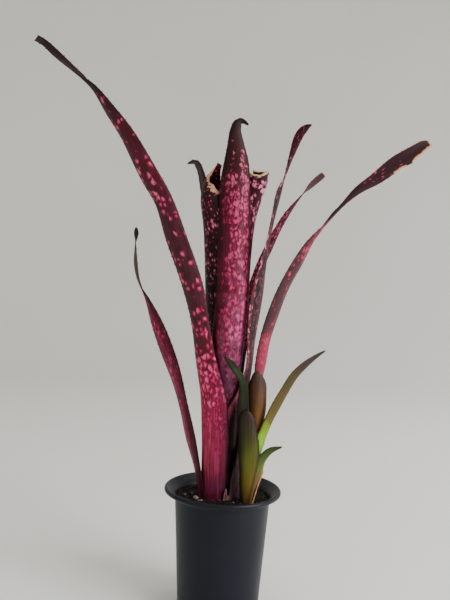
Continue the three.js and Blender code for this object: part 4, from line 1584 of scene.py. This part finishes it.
@dataclass
class NurseryPot:
    """A tapered round pot with a flared top, a rolled rim and drain holes. Sizes in mm."""

    height: float = 125.0
    rim_radius: float = 60.0
    body_top_radius: float = 48.7
    body_top_height: float = 113.0
    base_radius: float = 41.5
    wall: float = 1.5
    floor: float = 2.0
    flare_radius: float = 7.6
    flare_sweep: float = 82.0
    drain_holes: int = 6
    drain_radius: float = 4.5
    drain_circle: float = 28.0
    drain_sides: int = 32
    turns: int = 128
    flare_steps: int = 10
    # Insets with heights at the foot, drops at the rim and heights above the floor inside
    foot_round: tuple[Level, ...] = ((3.0, 0.0), (1.2, 0.0), (0.4, 0.3), (0.0, 1.2), (-0.12, 3.0))
    rim_round: tuple[Level, ...] = (
        (1.0, 4.3), (0.3, 3.7), (0.0, 2.8), (0.0, 1.9), (0.3, 1.1), (0.9, 0.4), (1.6, 0.0),
        (2.6, 0.0), (3.8, 0.6),
    )
    floor_round: tuple[Level, ...] = ((-0.1, 1.2), (0.9, 0.0))
    finish: MouldedPolypropylene = MouldedPolypropylene()

    def build(self) -> bpy.types.Object:
        """Spin the wall, cut the drain holes and dress the pot."""
        bm = bmesh.new()
        spun(bm, self.profile(), self.turns)
        bmesh.ops.recalc_face_normals(bm, faces=bm.faces)
        pot = mesh_object("nursery_pot", bm, [dressed(self.finish)])
        self.cut_drain_holes(pot)
        return settle(pot, ["pot"])

    def flare(self, radius: float) -> list[tuple[float, float]]:
        """Arc of the flare at the top of the body, from the body outwards."""
        centre = self.body_top_radius + self.flare_radius
        steps = self.flare_steps
        angles = [math.radians(self.flare_sweep * k / steps) for k in range(steps + 1)]
        top = self.body_top_height
        return [(centre - radius * math.cos(a), top + radius * math.sin(a)) for a in angles]

    def profile(self) -> list[tuple[float, float]]:
        """Closed section from the middle of the underside round to the middle of the floor."""
        taper = (self.body_top_radius - self.base_radius) * self.floor / self.body_top_height
        inside_foot = self.base_radius + taper - self.wall
        # The roll of the rim takes the place of the last two points inside the flare
        inside_flare = self.flare(self.flare_radius + self.wall)[:-2]
        return [
            (0.0, 0.0),
            *[(self.base_radius - inset, height) for inset, height in self.foot_round],
            *self.flare(self.flare_radius),
            *[(self.rim_radius - inset, self.height - drop) for inset, drop in self.rim_round],
            *reversed(inside_flare),
            *[(inside_foot - inset, self.floor + height) for inset, height in self.floor_round],
            (0.0, self.floor),
        ]

    def cut_drain_holes(self, pot: bpy.types.Object) -> None:
        """Cut the drain holes out of the floor."""
        bm = bmesh.new()
        for k in range(self.drain_holes):
            angle = math.tau * k / self.drain_holes
            x, y = self.drain_circle * math.cos(angle), self.drain_circle * math.sin(angle)
            bmesh.ops.create_cone(
                bm,
                cap_ends=True,
                segments=self.drain_sides,
                radius1=self.drain_radius,
                radius2=self.drain_radius,
                depth=4 * self.floor,
                matrix=Matrix.Translation((x, y, self.floor / 2)),
            )
        cutter = mesh_object("drain_cutter", bm, [])
        cut = pot.modifiers.new("drain_holes", "BOOLEAN")
        cut.operation = "DIFFERENCE"
        cut.solver = "EXACT"
        cut.object = cutter
        graph = bpy.context.evaluated_depsgraph_get()
        drilled = bpy.data.meshes.new_from_object(pot.evaluated_get(graph))
        pot.modifiers.clear()
        pot.data = drilled
        bpy.data.objects.remove(cutter)


@dataclass(frozen=True)
class Lump:
    """A lump on the bed: its place and its radius, in mm."""

    x: float
    y: float
    radius: float


@dataclass
class PottingMix:
    """Peat bed with bark, crumbs and a little pale grit on it. Sizes in mm.

    Attributes:
        height: Level of the bed above the pot's underside.
        top_radius: Radius of the bed at its top.
        floor_radius: Radius of the bed at its floor.
        floor: Height of its floor.
        bump: Height of its unevenness.
        broad: Pitch of the broad unevenness and its share.
        crumbly: Pitch of the crumbly unevenness and its share.
        lift: How far a lump's middle stands above the bed, in radii.
        tilt: Range of a lump's tilt, in radians.
        unevenness: Range of a lump's corners, in radii.
        turns: Faces round the bed.
        rings: Faces from its middle to its rim.
        seed: Seed of the random draws.
        grit_in_view: Grit that the photo shows.
        peat: Finish of the bed and the crumbs.
        bark: Finish of the chips.
        grit: Finish of the grit, darkened with painted shade.
    """

    height: float = 115.5
    top_radius: float = 46.9
    floor_radius: float = 39.8
    floor: float = 2.3
    bump: float = 1.6
    broad: tuple[float, float] = (14.0, 1.1)
    crumbly: tuple[float, float] = (2.2, 0.45)
    lift: float = 0.15
    tilt: float = 1.2
    unevenness: float = 0.5
    turns: int = 96
    rings: int = 26
    seed: int = 29
    grit_in_view: tuple[Lump, ...] = (
        Lump(-38.8, -0.5, 2.3),
        Lump(-31.8, 5.0, 2.1),
        Lump(-27.0, -12.5, 4.4),
        Lump(-21.5, -19.5, 2.0),
        Lump(11.0, -23.0, 1.3),
    )
    peat: LooseMatter = LooseMatter("damp_peat", "#050302", "#1d140e", 2.2, 0.8)
    bark: LooseMatter = LooseMatter("damp_bark", "#0a0604", "#2e2016", 1.6, 0.5)
    # Painted shade: the pumice grit is coloured darker than pale pumice, for the shade of the pot's
    # wall over it
    grit: LooseMatter = LooseMatter("pumice_grit", "#483c34", "#8c8074", 1.0, 0.4)

    def surface_height(self, x: float, y: float) -> float:
        """Height of the bed at a place, in mm."""
        (wide, much), (fine, little) = self.broad, self.crumbly
        broad = noise.noise(Vector((x / wide, y / wide, 3.0)))
        crumb = noise.noise(Vector((x / fine, y / fine, 8.0)))
        return self.height + self.bump * (much * broad + little * crumb)

    def build(self) -> list[bpy.types.Object]:
        """Build the bed and everything that lies on it."""
        bed = self.bed()
        dice = random.Random(self.seed)
        view = self.grit_in_view
        strewn = (
            ("bark_chips", self.bark, dice, 80, (1.6, 4.2), (1.0, 0.62, 0.4)),
            ("peat_crumbs", self.peat, dice, 460, (0.6, 1.5), (1.0, 0.8, 0.7)),
            ("pale_grit", self.grit, dice, 9, (0.7, 1.5), (1.0, 0.7, 0.6), view),
        )
        return [bed, *(self.scatter(*kind) for kind in strewn)]

    def bed(self) -> bpy.types.Object:
        """Spin the block of peat and roughen its top."""
        bm = bmesh.new()
        top = [(self.top_radius * k / self.rings, self.height) for k in range(self.rings + 1)]
        spun(bm, [*top, (self.floor_radius, self.floor), (0.0, self.floor)], self.turns)
        for vert in bm.verts:
            if vert.co.z > self.height - 1:
                vert.co.z = self.surface_height(vert.co.x, vert.co.y)
        return finished("peat_bed", bm, [self.peat], ["potting_mix"])

    def scatter(
        self,
        name: str,
        matter: LooseMatter,
        dice: random.Random,
        count: int,
        size: tuple[float, float],
        flat: Place,
        first: Sequence[Lump] = (),
    ) -> bpy.types.Object:
        """Strew small uneven lumps over the bed, clear of the shoots.

        Args:
            name: Name of the piece that they make together.
            matter: What they are made of.
            dice: Seeded random numbers.
            count: How many there are, apart from the first.
            size: Smallest and largest radius in mm.
            flat: Share of the radius along each axis.
            first: Lumps with a place of their own.

        Returns:
            The piece.
        """
        bm = bmesh.new()
        lumps = list(first)
        while len(lumps) < len(first) + count:
            radius = size[0] + (size[1] - size[0]) * dice.random() ** 2
            ring = (self.top_radius - radius) * math.sqrt(dice.random())
            angle = math.tau * dice.random()
            lump = Lump(ring * math.cos(angle), ring * math.sin(angle), radius)
            if all(self.clear(lump, shoot) for shoot in (MAIN_SHOOT, PUP_SHOOT)):
                lumps.append(lump)
        for lump in lumps:
            self.add_lump(bm, dice, lump, flat)
        return finished(name, bm, [matter])

    @staticmethod
    def clear(lump: Lump, shoot: Shoot) -> bool:
        """Whether a lump lies clear of a shoot's foot."""
        apart = math.hypot(lump.x - shoot.axis[0], lump.y - shoot.axis[1])
        return apart > shoot.foot + lump.radius

    def add_lump(self, bm: bmesh.types.BMesh, dice: random.Random, lump: Lump, flat: Place) -> None:
        """Add one lump of a few faces, turned at random and with its corners shifted."""
        lift = self.surface_height(lump.x, lump.y) + lump.radius * self.lift
        place = Vector((lump.x, lump.y, lift))
        tilt = Matrix.Rotation((dice.random() - 0.5) * self.tilt, 4, "X")
        turn = Matrix.Rotation(math.tau * dice.random(), 4, "Z")
        matrix = Matrix.Translation(place) @ turn @ tilt @ Matrix.Diagonal((*flat, 1))
        made = bmesh.ops.create_icosphere(bm, subdivisions=1, radius=lump.radius, matrix=matrix)
        for vert in made["verts"]:
            vert.co += (vert.co - place) * (dice.random() - 0.5) * self.unevenness


@dataclass(frozen=True)
class Scale:
    """A papery or withered flap at the foot of the main shoot.

    Attributes:
        azimuth: Its direction from the shoot's axis, in degrees from the viewer.
        width: Its width in mm.
        height: Its height in mm.
        lean: How far its top leans outwards, in mm.
    """

    azimuth: float
    width: float
    height: float
    lean: float


@dataclass
class DryRemains:
    """Straw beside the side shoot, papery scales and sheaths dark with painted shade at the main
    one, in mm.
    """

    straw_line: tuple[Place, ...] = (
        (27.7, -27.2, 110.4), (30.1, -27.4, 119), (34, -27.2, 134.6), (39.3, -27, 150.4),
    )
    straw_radius: float = 0.6
    straw_sides: int = 8
    straw_rings: int = 12
    scale_foot: float = 113.5
    scale_thickness: float = 0.25
    # Flaps: faces across and along, how far they narrow, how fast that and their lean set in,
    # and the unevenness of their faces and tops with its pitches
    flap_grid: tuple[int, int] = (8, 10)
    taper: float = 0.7
    taper_power: float = 2.5
    lean_power: float = 1.5
    raggedness: float = 0.9
    uneven_top: float = 0.15
    uneven_pitches: tuple[float, float] = (2.0, 3.0)
    sheath_plans: tuple[Scale, ...] = (Scale(66, 17.0, 54.0, 0.5), Scale(44, 9.0, 38.0, 1.0))
    scale_plans: tuple[Scale, ...] = (
        Scale(19, 4.5, 15.0, 2.0),
        Scale(25, 4.0, 9.0, 3.0),
        Scale(4, 4.0, 5.0, 3.0),
        Scale(-14, 4.0, 4.5, 3.5),
    )
    straw: DryFibre = DryFibre("dry_straw_fibre", dark="#94603a", light="#d0a070")
    paper: DryFibre = DryFibre("papery_scale", dark="#3c2220", light="#84605a")
    # Painted shade: the sheaths at the foot of the main shoot are dark purple for the shade between
    # it and the side shoot
    sheath: DryFibre = DryFibre("shaded_sheath", dark="#221018", light="#5a3242")

    def build(self) -> list[bpy.types.Object]:
        """Build the straw, the papery scales and the sheaths dark with painted shade."""
        flaps = (
            ("papery_scales", self.scale_plans, self.paper),
            ("shaded_sheaths", self.sheath_plans, self.sheath),
        )
        return [self.stalk(), *(self.scales(*flap) for flap in flaps)]

    def stalk(self) -> bpy.types.Object:
        """Pull a small ring along the straw's line and close both ends."""
        bm = bmesh.new()
        line = [Vector(place) for place in self.straw_line]
        heading = (line[1] - line[0]).to_track_quat("Z", "Y").to_matrix().to_4x4()
        foot = Matrix.Translation(line[0]) @ heading
        ring = {"segments": self.straw_sides, "radius": self.straw_radius}
        bmesh.ops.create_circle(bm, **ring, matrix=foot)
        edges, last = bm.edges[:], line[0]
        for k in range(1, self.straw_rings + 1):
            share = k / self.straw_rings * (len(line) - 1)
            index = min(int(share), len(line) - 2)
            target = line[index].lerp(line[index + 1], share - index)
            grown = bmesh.ops.extrude_edge_only(bm, edges=edges)["geom"]
            verts = {g for g in grown if isinstance(g, bmesh.types.BMVert)}
            bmesh.ops.translate(bm, verts=list(verts), vec=target - last)
            edges = [g for g in grown if isinstance(g, bmesh.types.BMEdge)]
            edges = [edge for edge in edges if verts.issuperset(edge.verts)]
            last = target
        open_edges = [edge for edge in bm.edges if edge.is_boundary]
        bmesh.ops.holes_fill(bm, edges=open_edges, sides=self.straw_sides)
        return finished("straw_stalk", bm, [self.straw], ["dry_straw"])

    def scales(self, name: str, plans: Sequence[Scale], finish: DryFibre) -> bpy.types.Object:
        """Bend thin flaps round the foot of the main shoot.

        Args:
            name: Name of the piece.
            plans: The flaps.
            finish: What they are made of.

        Returns:
            The piece.
        """
        bm = bmesh.new()
        columns, rows = self.flap_grid
        wide, high = self.uneven_pitches
        for plan in plans:
            made = bmesh.ops.create_grid(bm, x_segments=columns, y_segments=rows, size=0.5)
            for vert in made["verts"]:
                u, v = vert.co.x * 2, vert.co.y + 0.5
                taper = 1 - self.taper * v**self.taper_power
                ragged = noise.noise(Vector((u * wide, v * high, plan.azimuth)))
                radius = MAIN_SHOOT.foot + plan.lean * v**self.lean_power
                radius += self.raggedness * ragged * v
                half_angle = taper * plan.width / 2 / MAIN_SHOOT.foot
                around = math.radians(plan.azimuth) + u * half_angle
                x = MAIN_SHOOT.axis[0] + radius * math.sin(around)
                y = MAIN_SHOOT.axis[1] - radius * math.cos(around)
                height = plan.height * v * (1 + self.uneven_top * ragged)
                vert.co = Vector((x, y, self.scale_foot + height))
        bmesh.ops.solidify(bm, geom=bm.faces[:], thickness=self.scale_thickness)
        return finished(name, bm, [finish])


# Studio


@dataclass(frozen=True)
class Lamp:
    """A soft square light.

    Attributes:
        name: Name of the light.
        place: Where it hangs, in metres.
        power: Its power in watts.
        size: Its side in metres.
        colour: Its sRGB hex colour.
        aim: What it faces, which is the plant unless it says otherwise.
    """

    name: str
    place: Place
    power: float
    size: float
    colour: str
    aim: Place = (0.0, 0.0, 0.28)

    def hang(self) -> None:
        """Hang the light and turn it to what it faces."""
        lamp = bpy.data.lights.new(self.name, "AREA")
        lamp.energy = self.power
        lamp.size = self.size
        lamp.color = linear(self.colour)[:3]
        hung = bpy.data.objects.new(self.name, lamp)
        hung.location = self.place
        heading = Vector(self.aim) - Vector(self.place)
        hung.rotation_euler = heading.to_track_quat("-Z", "Y").to_euler()
        bpy.context.scene.collection.objects.link(hung)


@dataclass
class Studio:
    """Pale round cove, soft light from the upper right and a camera at the photo's angle."""

    cove_radius: float = 3.2
    cove_height: float = 4.0
    cove_bend: float = 1.6
    cove_steps: int = 16
    cove_turns: int = 96
    air: float = 0.73
    air_tone: str = "#dfe1e0"
    paper_tones: tuple[str, str] = ("#dddcd6", "#e2e2dd")
    paper_cloud: float = 0.8
    camera_place: Place = (-0.00675, -0.7153, 0.3409)
    camera_pitch: float = -1.86
    camera_roll: float = 2.7
    camera_lens: float = 42.0
    camera_sensor: float = 36.0
    lamps: tuple[Lamp, ...] = (
        Lamp("key", (1.3, -0.9, 1.1), 36.0, 1.1, "#fbf8f4"),
        Lamp("wash", (1.9, 0.4, 0.3), 46.0, 1.2, "#fbf9fc", aim=(1.2, 3.0, -0.2)),
        Lamp("low", (1.0, -0.5, 0.3), 7.0, 0.5, "#f2f3ff", aim=(0.3, 0.2, 0.0)),
        Lamp("fill", (-1.4, -1.2, 0.7), 5.0, 1.6, "#f0f4ff"),
        Lamp("top", (0.2, 0.3, 1.9), 14.0, 1.6, "#ffffff"),
    )

    def build(self) -> None:
        """Set up the cove, the light and the camera."""
        self.cove()
        for lamp in self.lamps:
            lamp.hang()
        world = bpy.data.worlds.new("studio_air")
        world.use_nodes = True
        background = world.node_tree.nodes["Background"]
        background.inputs[0].default_value = linear(self.air_tone)
        background.inputs[1].default_value = self.air
        bpy.context.scene.world = world
        self.camera()

    def cove(self) -> None:
        """Spin a floor that rises into a round wall."""
        bm = bmesh.new()
        arc = [math.radians(90 * k / self.cove_steps) for k in range(self.cove_steps + 1)]
        bend, foot = self.cove_bend / MM, (self.cove_radius - self.cove_bend) / MM
        bent = [(foot + bend * math.sin(a), bend - bend * math.cos(a)) for a in arc]
        wall_top = (self.cove_radius / MM, self.cove_height / MM)
        spun(bm, [(0.0, 0.0), *bent, wall_top], self.cove_turns)
        sheet = NodeSheet.start("studio_paper")
        place = sheet.add("TexCoord").outputs["Object"]
        cloud = sheet.add("TexNoise", {"Vector": place, "Scale": self.paper_cloud, "Detail": 1.0})
        share = sheet.add("MapRange", {0: cloud, **Fade.PAPER.sockets})
        low, high = self.paper_tones
        colour = sheet.add("Mix", {0: share, 6: low, 7: high}, data_type="RGBA")
        paper = sheet.finish(Base_Color=colour, Roughness=0.95)
        mesh_object("studio_cove", bm, [paper])

    def camera(self) -> None:
        """Place the camera as the photo was taken."""
        pitch, roll = math.radians(self.camera_pitch), math.radians(self.camera_roll)
        forward = Vector((0, math.cos(pitch), math.sin(pitch)))
        right = Vector((1, 0, 0))
        up = right.cross(forward)
        turned_right = right * math.cos(roll) + up * math.sin(roll)
        turned_up = up * math.cos(roll) - right * math.sin(roll)
        lens = bpy.data.cameras.new("camera")
        lens.lens = self.camera_lens
        lens.sensor_width = self.camera_sensor
        held = bpy.data.objects.new("camera", lens)
        turn = Matrix((turned_right, turned_up, -forward)).transposed().to_4x4()
        held.matrix_world = Matrix.Translation(self.camera_place) @ turn
        bpy.context.scene.collection.objects.link(held)
        bpy.context.scene.camera = held


def dress_hidden_stems(nodes: dict[str, bpy.types.Object]) -> None:
    """Give the stems inside the shoots their fibrous finish.

    Args:
        nodes: The CAD nodes by name.
    """
    fibre = dressed(DryFibre("stem_fibre", dark="#6d6142", light="#a4966c"))
    for name in ("main_stem", "pup_stem"):
        nodes[name].data.materials.clear()
        nodes[name].data.materials.append(fibre)
        LOG.info("%s: dressed", name)


def main() -> None:
    """Build the part piece by piece."""
    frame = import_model()
    Studio().build()
    NurseryPot().build()
    PottingMix().build()
    for plan in MAIN_LEAVES:
        leaf = Leaf(plan, MAIN_SHOOT, OUTSIDE[plan.node], INSIDE[plan.node], Slot.LEAF)
        leaf.build(plan.node.replace("leaf_", "spotted_"))
    for plan in PUP_LEAVES:
        leaf = Leaf(plan, PUP_SHOOT, PLAIN[plan.node], PLAIN[plan.node], Slot.PUP_LEAF)
        leaf.build(plan.node.replace("pup_", "shoot_"))
    DryRemains().build()
    dress_hidden_stems(frame["nodes"])


if __name__ == "__main__":
    logging.basicConfig(level=logging.INFO, format="%(message)s")
    main()
